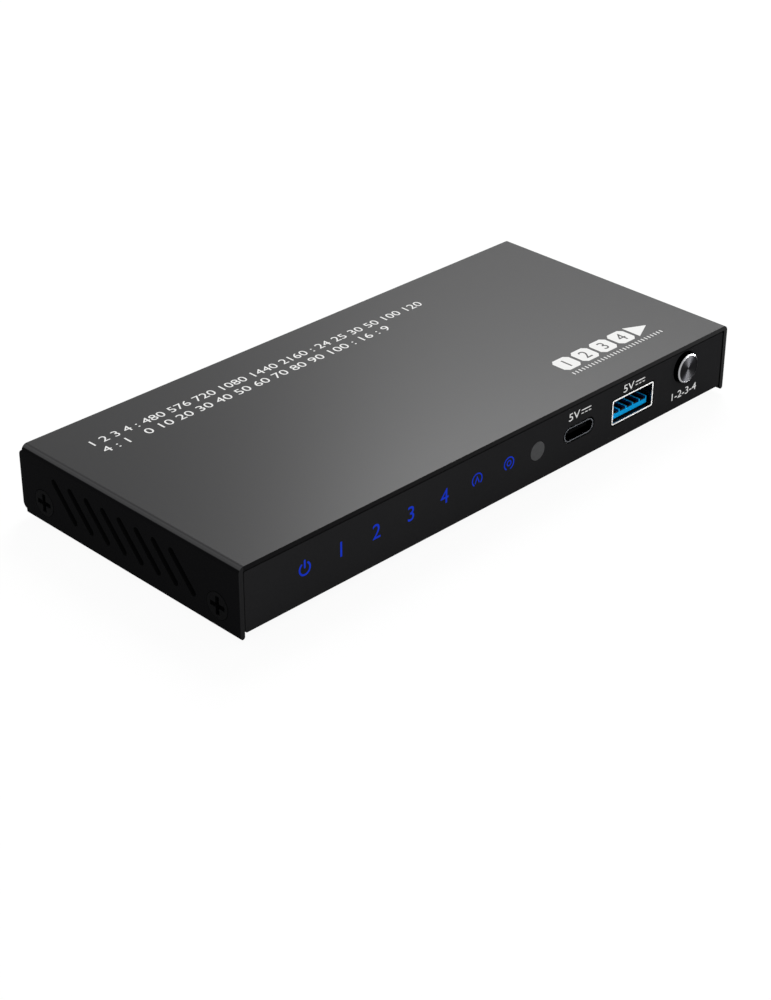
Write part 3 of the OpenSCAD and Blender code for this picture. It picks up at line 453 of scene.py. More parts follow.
@dataclass(frozen=True)
class LitInk(Finish):
    """Translucent ink with a lamp behind it: even blue light that falls off a little in patches."""

    dim: str
    bright: str
    patch_mm: float

    def surface(self, tree: bpy.types.NodeTree) -> bpy.types.NodeSocket:
        """Builds the glow from two blues in patches of a lamp's real size.

        Args:
            tree: The material's node tree.

        Returns:
            The shader's output socket.
        """
        place = add(tree, "ShaderNodeTexCoord").outputs["Object"]
        patch = add(tree, "ShaderNodeTexNoise", links={"Vector": place, "Scale": 1 / (self.patch_mm * MM)})
        colour = add(tree, "ShaderNodeMix", {"data_type": "RGBA"}, {
            "Factor": patch.outputs["Fac"], 6: linear(self.dim), 7: linear(self.bright)})
        return add(tree, "ShaderNodeBsdfPrincipled", links={
            "Base Color": (0.0, 0.0, 0.0, 1.0), "Roughness": 0.6, "Specular IOR Level": 0.0,
            "Emission Color": colour.outputs[2], "Emission Strength": 1.0}).outputs["BSDF"]


class Slot(Enum):
    """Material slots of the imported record."""

    COVER = "cover_paint"
    TRAY = "tray_paint"
    FILM = "front_film"
    WINDOW = "window_tint"
    CAP = "spun_aluminium"
    SCREW = "black_screw"
    RUBBER = "foot_rubber"
    NICKEL = "socket_steel"
    DARK_NICKEL = "dark_steel"
    BLUE = "blue_plastic"
    BLACK = "black_plastic"
    GOLD = "contact_gold"
    BOARD = "board_green"
    CLEAR = "clear_acrylic"
    LAMP = "lamp_white"
    WHITE = "white_plastic"
    ZINC = "plain_steel"
    ALUMINIUM = "plain_aluminium"
    RESIN = "chip_resin"
    TAPE = "tape_grey"
    FERRITE = "ferrite"


FINISHES: dict[Slot, Finish] = {
    # Powder coat baked on steel, black all over: the grey top and the lighter bands on its folds are painted light for
    # a lamp's soft wash, the left front rim has a painted highlight, and the flanks stay black.
    # The real grit is finer than a pixel and is drawn at 0.4 mm.
    Slot.COVER: CoatedCover(
        "powder_coat_painted_light", top="#1e1e1f", top_tone="#202021", fold="#3e3e3f", flank="#0f0f10",
        flank_tone="#131314", rim="#242425", grain_mm=0.4, wide_mm=18.0, bump_mm=0.0015, top_roughness=0.3,
        flank_roughness=0.6, top_shine=0.133, flank_shine=0.004),
    # The black coat alone on the tray, a little duller.
    Slot.TRAY: Grained("powder_coat_black", "#0a0a0b", "#0f0f10", 0.4, 0.006, (0.55, 0.65), 0.01),
    # Screen-printed polyester film with a matt face: an even charcoal without clear reflections.
    Slot.FILM: Grained("polyester_film_matt", "#262627", "#2b2b2c", 0.5, 0.002, (0.6, 0.68), 0.0),
    # Infrared-clear polycarbonate, moulded: a plain grey disc with a soft face.
    Slot.WINDOW: Grained("polycarbonate_tinted", "#494a4b", "#4f4f50", 0.6, 0.002, (0.4, 0.5), 0.01),
    # Turned aluminium, dark anodised and then cut bright at the bevel: two light and two dark fans on the face, and a
    # side drawn near black as painted shade.
    # Real grooves are finer than a pixel and are drawn 0.12 mm apart.
    Slot.CAP: SpunCap("aluminium_spun_anodised", face="#1a1a1b", ring="#a8a8aa", side="#060607", edge="#a8a8a8",
                      groove_mm=0.12, bevel_mm=0.25),
    # Black oxide on a cold-headed steel screw: dull black with oil-dark patches.
    Slot.SCREW: Grained("steel_black_oxide", "#09090a", "#0e0e0f", 0.6, 0.01, (0.45, 0.6), 0.01),
    # Die-cut rubber: dead black and dusty.
    Slot.RUBBER: Grained("rubber_die_cut", "#161616", "#1e1e1e", 0.5, 0.03, (0.8, 0.95), 0.2),
    # Nickel over deep-drawn steel: bright at the rolled lip, and dull and dark deeper in the shell as painted shade.
    Slot.NICKEL: Plated("steel_nickel_plated", "#9c9c9b", "#aaaaa9", (0.4, 4.0, 0.4), (0.22, 0.34), inside="#4a4c50"),
    # Black nickel over drawn steel: a smoky rim, with near-black painted shade deeper in the shell.
    Slot.DARK_NICKEL: Plated("steel_black_nickel", "#303133", "#3a3b3d", (0.4, 4.0, 0.4), (0.3, 0.42),
                             inside="#070708", edge="#404040"),
    # Glass-filled nylon, moulded in blue: strong colour on the end and the ribs, and painted shade, a deep blue, down
    # in the bays.
    Slot.BLUE: BayedTongue("nylon_blue_moulded", "#0cacff", "#1cbcff", 0.5, 0.004, (0.4, 0.5), 0.0, deep="#08326c"),
    # Glass-filled nylon, moulded in black: deep black with a dry face.
    Slot.BLACK: Grained("nylon_black_moulded", "#0d0d0e", "#141415", 0.5, 0.004, (0.5, 0.62), 0.05),
    # Flash gold over phosphor bronze: warm and bright.
    Slot.GOLD: Plated("bronze_gold_plated", "#d7a54c", "#e6bd6e", (0.3, 3.0, 0.3), (0.25, 0.38)),
    # Green solder mask over copper: the runs show a shade lighter.
    Slot.BOARD: SolderMask("solder_mask_green", "#0e3a22", "#1f5a36", 0.3),
    # Acrylic, moulded: clear with flow lines.
    Slot.CLEAR: ClearPlastic("acrylic_moulded", "#e8eef4", 3.0),
    # Lamp resin with a pale blue die glowing through.
    Slot.LAMP: LitInk("lamp_resin_blue", "#2a3fd0", "#5568f0", 0.6),
    # Acetal, moulded: milky white with a waxy face.
    Slot.WHITE: Grained("acetal_white_moulded", "#dcdbd6", "#e6e5e1", 0.6, 0.004, (0.4, 0.5), 0.4),
    # Zinc on turned steel: pale grey with turning streaks.
    Slot.ZINC: Plated("steel_zinc_plated", "#b6b8ba", "#c9cbcc", (0.5, 0.5, 0.08), (0.3, 0.45)),
    # Extruded aluminium: silvery with die lines.
    Slot.ALUMINIUM: Plated("aluminium_extruded", "#bdbec0", "#cfd0d1", (0.15, 5.0, 0.3), (0.32, 0.45)),
    # Moulded epoxy: dull charcoal.
    Slot.RESIN: Grained("epoxy_moulded", "#17171a", "#1d1d20", 0.3, 0.006, (0.6, 0.7), 0.3),
    # Silicone gap tape: soft grey.
    Slot.TAPE: Grained("silicone_tape", "#8f9194", "#9a9c9f", 0.6, 0.01, (0.7, 0.85), 0.25),
    # Pressed ferrite: dark grey with open pores.
    Slot.FERRITE: Grained("ferrite_pressed", "#2c2c2e", "#38383a", 0.2, 0.02, (0.7, 0.85), 0.2),
}

# Contact metal, stamped: brown and dull, darkened as painted shade so the front contacts stay dark in their bays.
SHADED_CONTACTS = Plated("contacts_painted_shade", "#12100c", "#1a1610", (0.3, 3.0, 0.3), (0.4, 0.55), edge="#404040")
# Nylon with a mineral filler, moulded in black: no gloss at all, so the socket's mouth reads as a dark hole.
DRY_NYLON = Grained("nylon_black_filled", "#0b0b0c", "#111112", 0.5, 0.004, (0.7, 0.8), 0.0)
# Screen-printed epoxy ink: opaque white with a soft face and slightly uneven cover.
WHITE_INK = Grained("ink_white_printed", "#e0e0df", "#eaeae9", 0.35, 0.001, (0.55, 0.65), 0.1)
# Translucent ink over the lamps: the only thing on the front that glows.
BLUE_LIGHT = LitInk("ink_blue_lit", "#1428a0", "#1c3ac4", 1.2)


def dress(nodes: list[str]) -> None:
    """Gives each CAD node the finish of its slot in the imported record.

    Args:
        nodes: Names of the CAD nodes.
    """
    slots = {part["node"]: Slot(part["material_slot"]) for part in frame["record"]["subparts"]}
    for name in nodes:
        node = frame["nodes"][name]
        material = FINISHES[slots[name]].material()
        if not node.material_slots:
            node.data.materials.append(material)
        for place in node.material_slots:
            place.material = material
        LOG.info("dressed %s as %s", name, material.name)


def settle(name: str, mesh: bpy.types.Mesh, finish: Finish, body: str) -> None:
    """Makes an object at the origin of a finished mesh and ties it to a body.

    Args:
        name: Name of the piece.
        mesh: Mesh with its place in its vertices.
        finish: Finish of the piece.
        body: CAD body that carries it.
    """
    piece = bpy.data.objects.new(name, mesh)
    bpy.context.scene.collection.objects.link(piece)
    mesh.materials.clear()
    mesh.materials.append(finish.material())
    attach(piece, body)
    LOG.info("built %s: %d faces", name, len(mesh.polygons))


@dataclass(frozen=True)
class Face:
    """A flat face of the box that carries marks, with its own right and up directions."""

    origin: tuple[float, float, float]
    right: tuple[float, float, float]
    up: tuple[float, float, float]

    def point(self, u: float, v: float) -> Vector:
        """Returns the place of a point given in millimetres along the face's right and up."""
        return Vector(self.origin) + (Vector(self.right) * u + Vector(self.up) * v) * MM

    @property
    def out(self) -> Vector:
        """Returns the direction that the face looks in."""
        return Vector(self.right).cross(Vector(self.up))

    @classmethod
    def top(cls) -> "Face":
        """Returns the top of the cover, seen from the front."""
        return cls((0.0, 0.0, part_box("top_cover")[1].z), (1.0, 0.0, 0.0), (0.0, 1.0, 0.0))

    @classmethod
    def front(cls) -> "Face":
        """Returns the face of the front film."""
        return cls((0.0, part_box("front_film")[0].y, 0.0), (1.0, 0.0, 0.0), (0.0, 0.0, 1.0))

    @classmethod
    def rear(cls) -> "Face":
        """Returns the outside of the rear wall, seen from behind."""
        return cls((0.0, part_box("base_tray")[1].y, 0.0), (-1.0, 0.0, 0.0), (0.0, 0.0, 1.0))


class Align(Enum):
    """Where a line of characters stands against its given place."""

    LEFT = 0.0
    MIDDLE = 0.5


class InkLayer:
    """Flat marks on one face, gathered into one thin layer of ink."""

    def __init__(self, face: Face, lift_mm: float = LIFT_MM, ink_mm: float = INK_MM) -> None:
        """Starts an empty layer.

        Args:
            face: Face that the marks lie on.
            lift_mm: Height of the ink's underside over the face.
            ink_mm: Thickness of the ink.
        """
        self.face = face
        self.lift = face.out * lift_mm * MM
        self.ink = face.out * ink_mm * MM
        self.bm = bmesh.new()

    def patch(self, points: list[tuple[float, float]]) -> None:
        """Adds one filled outline.

        Args:
            points: Corners in millimetres, in order round the outline.
        """
        made = self.bm.faces.new([self.bm.verts.new(self.face.point(u, v) + self.lift) for u, v in points])
        made.normal_update()
        if made.normal.dot(self.face.out) < 0:
            made.normal_flip()

    def disc(self, u: float, v: float, radius: float) -> None:
        """Adds a round dot at the given place."""
        turn = [i * math.pi / 12 for i in range(24)]
        self.patch([(u + radius * math.cos(a), v + radius * math.sin(a)) for a in turn])

    def stroke(self, points: list[tuple[float, float]], width: float, closed: bool = False) -> None:
        """Adds a line of even width with round ends along the given points.

        Args:
            points: Points of the line in millimetres.
            width: Width of the line.
            closed: Whether the last point joins the first.
        """
        count = len(points)
        sides = []
        for i, (u, v) in enumerate(points):
            before = points[i - 1] if i or closed else points[i]
            after = points[(i + 1) % count] if i + 1 < count or closed else points[i]
            first = Vector((u - before[0], v - before[1]))
            last = Vector((after[0] - u, after[1] - v))
            first = first.normalized() if first.length else last.normalized()
            last = last.normalized() if last.length else first
            way = (first + last).normalized()
            half = width / 2 / max(0.5, way.dot(first))
            sides.append(((u - way.y * half, v + way.x * half), (u + way.y * half, v - way.x * half)))
        for i in range(count if closed else count - 1):
            left, right = sides[i], sides[(i + 1) % count]
            self.patch([left[0], left[1], right[1], right[0]])
        if not closed:
            self.disc(*points[0], width / 2)
            self.disc(*points[-1], width / 2)

    def arc(self, u: float, v: float, radius: float, width: float, start: float, end: float) -> None:
        """Adds part of a ring.

        Args:
            u: Middle of the ring to the right.
            v: Middle of the ring upwards.
            radius: Radius of the line's middle.
            width: Width of the line.
            start: First angle in degrees, from the right and turning left.
            end: Last angle in degrees.
        """
        steps = max(8, int(abs(end - start) / 9))
        turn = [math.radians(start + (end - start) * i / steps) for i in range(steps + 1)]
        closed = abs(end - start) >= 359.9
        points = [(u + radius * math.cos(a), v + radius * math.sin(a)) for a in turn]
        self.stroke(points[:-1] if closed else points, width, closed)

    def characters(self, body: str, u: float, v: float, height: float, align: Align = Align.MIDDLE,
                   width: float | None = None) -> None:
        """Adds a line of numerals or signs in the built-in plain typeface.

        Args:
            body: The characters.
            u: Place to the right of the line's left end or middle.
            v: Middle of the characters' height.
            height: Height of a numeral.
            align: Which point of the line stands at u.
            width: Width to which the line is drawn out, or None for its own.
        """
        curve = bpy.data.curves.new("line", "FONT")
        curve.body = body
        curve.resolution_u = 4
        curve.fill_mode = "FRONT"
        holder = bpy.data.objects.new("line", curve)
        bpy.context.scene.collection.objects.link(holder)
        flat = bpy.data.meshes.new_from_object(holder.evaluated_get(bpy.context.evaluated_depsgraph_get()))
        across = [p.co.x for p in flat.vertices]
        upward = [p.co.y for p in flat.vertices]
        scale = height / (max(upward) - min(upward))
        stretch = scale if width is None else width / (max(across) - min(across))
        left = u - align.value * (max(across) - min(across)) * stretch
        for polygon in flat.polygons:
            corners = [flat.vertices[i].co for i in polygon.vertices]
            self.patch([(left + (c.x - min(across)) * stretch,
                         v + (c.y - (max(upward) + min(upward)) / 2) * scale) for c in corners])
        bpy.data.objects.remove(holder)
        bpy.data.curves.remove(curve)
        bpy.data.meshes.remove(flat)

    def finish(self, name: str, finish: Finish, slot: Slot) -> None:
        """Gives the layer its thickness and makes it a piece on the case.

        Args:
            name: Name of the piece.
            finish: Ink of the piece.
            slot: Record slot that the ink belongs to; not used.
        """
        bmesh.ops.remove_doubles(self.bm, verts=self.bm.verts[:], dist=1e-7)
        raised = bmesh.ops.extrude_face_region(self.bm, geom=self.bm.faces[:])
        bmesh.ops.translate(self.bm, vec=self.ink,
                            verts=[g for g in raised["geom"] if isinstance(g, bmesh.types.BMVert)])
        bmesh.ops.recalc_face_normals(self.bm, faces=self.bm.faces[:])
        mesh = bpy.data.meshes.new(name)
        self.bm.to_mesh(mesh)
        self.bm.free()
        settle(name, mesh, finish, "case")


class NodePattern:
    """A Geometry Nodes tree with named sizes that is run once and left as a plain mesh."""

    def __init__(self, name: str) -> None:
        """Starts a tree with its geometry input and output.

        Args:
            name: Name of the tree and of the piece that it makes.
        """
        self.name = name
        self.tree = bpy.data.node_groups.new(name, "GeometryNodeTree")
        self.tree.interface.new_socket(name="Places", in_out="INPUT", socket_type="NodeSocketGeometry")
        self.tree.interface.new_socket(name="Pieces", in_out="OUTPUT", socket_type="NodeSocketGeometry")
        self.entry = add(self.tree, "NodeGroupInput")
        self.sizes: dict[str, float] = {}

    def size(self, name: str, value: float) -> bpy.types.NodeSocket:
        """Adds a named size and returns the socket that carries it.

        Args:
            name: Name of the size.
            value: Size in metres or a plain count.

        Returns:
            The output socket of the tree's input node.
        """
        made = self.tree.interface.new_socket(name=name, in_out="INPUT", socket_type="NodeSocketFloat")
        self.sizes[made.identifier] = value
        return next(s for s in self.entry.outputs if s.identifier == made.identifier)

    def run(self, pieces: bpy.types.NodeSocket, places: bpy.types.Mesh, finish: Finish, body: str) -> None:
        """Ends the tree, evaluates it on the given places and keeps the plain mesh.

        Args:
            pieces: Socket with the instances.
            places: Mesh whose points the pieces stand on.
            finish: Finish of the pieces.
            body: CAD body that carries them.
        """
        real = add(self.tree, "GeometryNodeRealizeInstances", links={"Geometry": pieces})
        dressed = add(self.tree, "GeometryNodeSetMaterial", links={
            "Geometry": real.outputs["Geometry"], "Material": finish.material()})
        add(self.tree, "NodeGroupOutput", links={0: dressed.outputs["Geometry"]})
        holder = bpy.data.objects.new(self.name + "_places", places)
        bpy.context.scene.collection.objects.link(holder)
        modifier = holder.modifiers.new(self.name, "NODES")
        modifier.node_group = self.tree
        for identifier, value in self.sizes.items():
            modifier[identifier] = value
        mesh = bpy.data.meshes.new_from_object(holder.evaluated_get(bpy.context.evaluated_depsgraph_get()))
        mesh.name = self.name
        holder.modifiers.clear()
        bpy.data.objects.remove(holder)
        settle(self.name, mesh, finish, body)


@dataclass
class Enclosure:
    """Folded cover and tray, front film, screws and feet, with the white print on them, drawn in millimetres."""

    nodes: list[str] = field(default_factory=lambda: [
        "top_cover", "base_tray", "front_film", "cover_screws", "rubber_feet"])
    row_height: float = 2.15
    row_left: float = -59.8
    row_middles: tuple[float, float] = (21.87, 18.22)
    row_widths: tuple[float, float] = (90.3, 76.9)
    label_height: float = 1.7
    label_width: float = 6.7
    label_shares: tuple[float, float] = (0.5, 0.58)
    current_line: float = 0.24
    current_rise: float = 0.36
    block: float = 5.0
    block_pitch: float = 5.8
    blocks_left: float = 28.75
    blocks_middle: float = -19.73
    tick_count: int = 29
    tick_pitch: float = 1.0
    tick_size: tuple[float, float] = (0.3, 1.0)
    tick_middle: float = -23.78
    tick_start: float = 0.2
    block_corner: float = 0.9
    numeral_share: float = 0.6
    numeral_ink: tuple[float, float] = (0.018, 0.006)
    label_rises: tuple[float, float] = (12.7, 13.0)
    input_label: tuple[float, float, float] = (0.5, 5.05, 8.2)
    rear_rise: float = 13.9
    screen: tuple[float, float, float, float, float] = (1.5, 0.9, 13.2, 14.8, 12.85)
    screen_line: float = 0.25
    sign_line: float = 0.2
    sign_side: float = 2.1
    sign_half: float = 0.45
    sign_ring: tuple[float, float] = (0.7, 0.28)

    def build(self) -> None:
        """Dresses the CAD nodes and prints the top, the front and the rear."""
        dress(self.nodes)
        self.print_top()
        self.print_ticks()
        self.print_front()
        self.print_rear()

    def print_top(self) -> None:
        """Prints two rows of plain numerals and four numbered blocks that lead to one."""
        layer = InkLayer(Face.top())
        rows = ("1 2 3 4 : 480 576 720 1080 1440 2160 : 24 25 30 50 100 120",
                "4 : 1   0 10 20 30 40 50 60 70 80 90 100 : 16 : 9")
        for body, middle, width in zip(rows, self.row_middles, self.row_widths):
            layer.characters(body, self.row_left, middle, self.row_height, Align.LEFT, width)
        for i in range(4):
            self.square(layer, self.block_place(i), self.blocks_middle)
        tip, half = self.blocks_left + 4 * self.block_pitch, self.block / 2
        layer.patch([(tip, self.blocks_middle - half), (tip + self.block, self.blocks_middle),
                     (tip, self.blocks_middle + half)])
        layer.finish("top_print", WHITE_INK, Slot.WHITE)
        numerals = InkLayer(Face.top(), *self.numeral_ink)
        for i in range(4):
            numerals.characters(str(i + 1), self.block_place(i), self.blocks_middle, self.numeral_share * self.block)
        numerals.finish("top_print_numerals", FINISHES[Slot.COVER], Slot.COVER)

    def block_place(self, number: int) -> float:
        """Returns how far to the right the middle of a numbered block stands."""
        return self.blocks_left + self.block / 2 + number * self.block_pitch

    def square(self, layer: InkLayer, u: float, v: float) -> None:
        """Adds a block with cut corners.

        Args:
            layer: Layer that takes the block.
            u: Middle of the block to the right.
            v: Middle of the block upwards.
        """
        half, corner = self.block / 2, self.block_corner
        layer.patch([(u - half + corner, v - half), (u + half - corner, v - half), (u + half, v - half + corner),
                     (u + half, v + half - corner), (u + half - corner, v + half), (u - half + corner, v + half),
                     (u - half, v + half - corner), (u - half, v - half + corner)])

    def print_ticks(self) -> None:
        """Prints a fine row of ticks before the blocks, made once and repeated along a line."""
        pattern = NodePattern("top_print_ticks")
        wide, tall, ink = (pattern.size(name, value * MM) for name, value in (
            ("Tick width", self.tick_size[0]), ("Tick height", self.tick_size[1]), ("Ink", INK_MM)))
        shape = add(pattern.tree, "ShaderNodeCombineXYZ", links={"X": wide, "Y": tall, "Z": ink})
        tick = add(pattern.tree, "GeometryNodeMeshCube", links={"Size": shape.outputs["Vector"]})
        row = add(pattern.tree, "GeometryNodeInstanceOnPoints", links={
            "Points": pattern.entry.outputs["Places"], "Instance": tick.outputs["Mesh"]})
        face = Face.top()
        places = bpy.data.meshes.new("tick_places")
        places.from_pydata([face.point(self.blocks_left + self.tick_start + i * self.tick_pitch, self.tick_middle)
                            + face.out * (LIFT_MM + INK_MM / 2) * MM
                            for i in range(self.tick_count)], [], [])
        pattern.run(row.outputs["Instances"], places, WHITE_INK, "case")

    def print_front(self) -> None:
        """Prints the supply over each charging socket and the input numerals under the button."""
        layer = InkLayer(Face.front())
        for name, height in zip(("charge_c_shell", "charge_a_shell"), self.label_rises):
            low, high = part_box(name)
            u = (low.x + high.x) / 2 / MM - self.label_width / 2
            layer.characters("5V", u, height, self.label_height, Align.LEFT, self.label_shares[0] * self.label_width)
            self.direct_current(layer, u + self.label_shares[1] * self.label_width, u + self.label_width, height)
        low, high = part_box("select_button")
        shift, rise, width = self.input_label
        layer.characters("1-2-3-4", (low.x + high.x) / 2 / MM + shift, rise, self.label_height, width=width)
        layer.finish("front_print", WHITE_INK, Slot.WHITE)

    def direct_current(self, layer: InkLayer, left: float, right: float, height: float) -> None:
        """Adds the sign for direct current, a bar over three dashes.

        Args:
            layer: Layer that takes the sign.
            left: Left end of the sign.
            right: Right end of the sign.
            height: Middle of the sign upwards.
        """
        line, rise = self.current_line, self.current_rise
        layer.stroke([(left, height + rise), (right, height + rise)], line)
        dash = (right - left) / 5
        for i in (0, 2, 4):
            layer.stroke([(left + i * dash, height - rise), (left + (i + 1) * dash, height - rise)], line)

    def print_rear(self) -> None:
        """Prints a numeral over each input, a screen over the output and the polarity over the inlet."""
        layer = InkLayer(Face.rear())
        for number in range(1, 5):
            low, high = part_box(f"input_{number}_shell")
            layer.characters(str(number), -(low.x + high.x) / 2 / MM, self.rear_rise, self.label_height)
        low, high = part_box("output_shell")
        u = -(low.x + high.x) / 2 / MM
        half, stand, bottom, top, under = self.screen
        layer.stroke([(u - half, bottom), (u + half, bottom), (u + half, top), (u - half, top)], self.screen_line, True)
        layer.stroke([(u - stand, under), (u + stand, under)], self.screen_line)
        low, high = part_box("inlet_pin")
        u = -(low.x + high.x) / 2 / MM
        rise, line, half = self.rear_rise, self.sign_line, self.sign_half
        ring, dot = self.sign_ring
        layer.arc(u, rise, ring, line, 40, 320)
        layer.disc(u, rise, dot)
        for middle in (u - self.sign_side, u + self.sign_side):
            layer.stroke([(middle - half, rise), (middle + half, rise)], line)
        layer.stroke([(u + self.sign_side, rise - half), (u + self.sign_side, rise + half)], line)
        layer.finish("rear_print", WHITE_INK, Slot.WHITE)


@dataclass
class IndicatorRow:
    """Seven lit signs in the front film, their light guide and lamps, and the infrared window."""

    nodes: list[str] = field(default_factory=lambda: [
        "light_guide", "indicator_lamps", "ir_window", "ir_receiver"])
    first_x: float = -53.75
    pitch: float = 9.117
    height: float = 9.35
    line: float = 0.32
    numeral: float = 3.2
    ring: float = 1.35
    bold: float = 1.25
    fine: float = 0.85
    thin: float = 0.8
    power_ring: float = 1.3
    power_drop: float = 0.15
    power_bar: tuple[float, float] = (0.1, 1.55)
    chevron: tuple[float, float, float] = (0.55, 0.7, 0.6)
    small_ring: tuple[float, float] = (0.05, 0.55)

    def build(self) -> None:
        """Dresses the CAD nodes and draws the lit signs."""
        dress(self.nodes)
        layer = InkLayer(Face.front())
        self.power(layer, self.first_x)
        for i in range(1, 5):
            layer.characters(str(i), self.first_x + i * self.pitch, self.height, self.numeral)
        self.turn(layer, self.first_x + 5 * self.pitch)
        self.echo(layer, self.first_x + 6 * self.pitch)
        layer.finish("lit_signs", BLUE_LIGHT, Slot.LAMP)

    def power(self, layer: InkLayer, u: float) -> None:
        """Draws the open ring and bar of a power sign at the given place."""
        layer.arc(u, self.height - self.power_drop, self.power_ring, self.bold * self.line, 128, 412)
        layer.stroke([(u, self.height + rise) for rise in self.power_bar], self.bold * self.line)

    def turn(self, layer: InkLayer, u: float) -> None:
        """Draws a round arrow with a chevron in it.

        Args:
            layer: Layer that takes the sign.
            u: Middle of the sign to the right.
        """
        layer.arc(u, self.height, self.ring, self.fine * self.line, -40, 230)
        half, foot, tip = self.chevron
        layer.stroke([(u - half, self.height - foot), (u, self.height + tip), (u + half, self.height - foot)],
                     self.thin * self.line)

    def echo(self, layer: InkLayer, u: float) -> None:
        """Draws an open ring with a smaller ring in it at the given place."""
        layer.arc(u, self.height, self.ring, self.fine * self.line, -70, 235)
        layer.arc(u, self.height + self.small_ring[0], self.small_ring[1], self.thin * self.line, 0, 360)


@dataclass
class Sockets:
    """Charging sockets at the front and signal sockets and inlet at the rear, with the spring fingers in them."""

    names: list[str] = field(default_factory=lambda: [
        "charge_c", "charge_a", "input_1", "input_2", "input_3", "input_4", "output"])
    fingered: list[str] = field(default_factory=lambda: ["charge_a", "input_2", "input_3", "input_4", "output"])
    inlet: list[str] = field(default_factory=lambda: ["inlet_body", "inlet_pin", "inlet_spring"])
    finger_width: float = 1.7
    finger_length: float = 3.6
    finger_bulge: float = 0.5
    finger_sheet: float = 0.15
    finger_side: float = 3.1
    finger_depth: float = 1.0
    finger_bend: float = 0.45
    wall: float = 0.3

    def build(self) -> None:
        """Dresses the CAD nodes and sets the spring fingers into the shells."""
        for name in self.names:
            dress([f"{name}_{part}" for part in ("shell", "insert", "contacts")])
        dress(self.inlet)
        # The front contacts take metal darkened as painted shade, and the C insert takes the matt black nylon.
        front = {"charge_a_contacts": SHADED_CONTACTS, "charge_c_contacts": SHADED_CONTACTS, "charge_c_insert": DRY_NYLON}
        for name, finish in front.items():
            for place in frame["nodes"][name].material_slots:
                place.material = finish.material()
        self.spring_fingers()

    def spring_fingers(self) -> None:
        """Bends one finger, and repeats it under the roof of each wide shell."""
        pattern = NodePattern("spring_fingers")
        width, length, bulge, sheet = (pattern.size(name, value * MM) for name, value in (
            ("Finger width", self.finger_width), ("Finger length", self.finger_length),
            ("Finger bulge", self.finger_bulge), ("Finger sheet", self.finger_sheet)))
        half = add(pattern.tree, "ShaderNodeMath", {"operation": "MULTIPLY"}, {0: length, 1: self.finger_bend})
        # A curve of this kind reaches half as deep as its middle point.
        drop = add(pattern.tree, "ShaderNodeMath", {"operation": "MULTIPLY"}, {0: bulge, 1: -2.0})
        bend = add(pattern.tree, "ShaderNodeCombineXYZ", links={"Y": half.outputs[0], "Z": drop.outputs[0]})
        tip = add(pattern.tree, "ShaderNodeCombineXYZ", links={"Y": length})
        path = add(pattern.tree, "GeometryNodeCurveQuadraticBezier", links={
            "Resolution": 10, "Start": (0.0, 0.0, 0.0), "Middle": bend.outputs["Vector"],
            "End": tip.outputs["Vector"]})
        strip = add(pattern.tree, "GeometryNodeCurvePrimitiveQuadrilateral", links={
            "Width": width, "Height": sheet})
        finger = add(pattern.tree, "GeometryNodeCurveToMesh", links={
            "Curve": path.outputs["Curve"], "Profile Curve": strip.outputs["Curve"], "Fill Caps": True})
        heading = add(pattern.tree, "GeometryNodeInputNamedAttribute", {"data_type": "FLOAT_VECTOR"}, {
            "Name": "heading"})
        row = add(pattern.tree, "GeometryNodeInstanceOnPoints", links={
            "Points": pattern.entry.outputs["Places"], "Instance": finger.outputs["Mesh"],
            "Rotation": heading.outputs["Attribute"]})
        spots, turns = self.finger_places()
        places = bpy.data.meshes.new("finger_places")
        places.from_pydata(spots, [], [])
        places.attributes.new("heading", "FLOAT_VECTOR", "POINT").data.foreach_set(
            "vector", [value for turn in turns for value in turn])
        pattern.run(row.outputs["Instances"], places, FINISHES[Slot.NICKEL], "case")

    def finger_places(self) -> tuple[list[Vector], list[tuple[float, float, float]]]:
        """Works out where the fingers spring from and which way they point.

        Returns:
            The places, and the turn of each finger in radians.
        """
        spots: list[Vector] = []
        turns: list[tuple[float, float, float]] = []
        for name in self.fingered:
            low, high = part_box(f"{name}_shell")
            front = name.startswith("charge")
            mouth = low.y + self.finger_depth * MM if front else high.y - self.finger_depth * MM
            roof = high.z - (self.wall + self.finger_sheet / 2) * MM
            for side in (-1, 1):
                spots.append(Vector(((low.x + high.x) / 2 + side * self.finger_side * MM, mouth, roof)))
                turns.append((0.0, 0.0, 0.0 if front else math.pi))
        return spots, turns


@dataclass
class SelectButton:
    """Round push button and the switch behind it."""

    nodes: list[str] = field(default_factory=lambda: [
        "select_button", "switch_stem", "switch_plate", "switch_body", "switch_dome"])
    radius_mm: float = 3.2

    def build(self) -> None:
        """Dresses the CAD nodes."""
        dress(self.nodes)


@dataclass
class Board:
    """Main board with its fasteners and parts."""

    nodes: list[str] = field(default_factory=lambda: [
        "main_board", "board_standoffs", "board_screws", "switch_chip", "thermal_tape", "heat_sink",
        "port_chips", "power_inductors", "capacitors", "crystal"])

    def build(self) -> None:
        """Dresses the CAD nodes."""
        dress(self.nodes)


@dataclass(frozen=True)
class SoftBox:
    """A flat lamp with a given glow that looks at the box, and may show in reflections alone."""

    name: str
    place: tuple[float, float, float]
    target: tuple[float, float, float]
    size: tuple[float, float]
    glow: float
    only_mirrored: bool = False

    def build(self) -> None:
        """Makes the lamp and turns it to its target."""
        lamp = bpy.data.lights.new(self.name, "AREA")
        lamp.shape = "RECTANGLE"
        lamp.size, lamp.size_y = self.size
        lamp.energy = self.glow * math.pi * self.size[0] * self.size[1]
        holder = bpy.data.objects.new(self.name, lamp)
        bpy.context.scene.collection.objects.link(holder)
        holder.visible_diffuse = not self.only_mirrored
        holder.visible_camera = False
        holder.location = self.place
        holder.rotation_euler = (Vector(self.target) - Vector(self.place)).to_track_quat("-Z", "Y").to_euler()


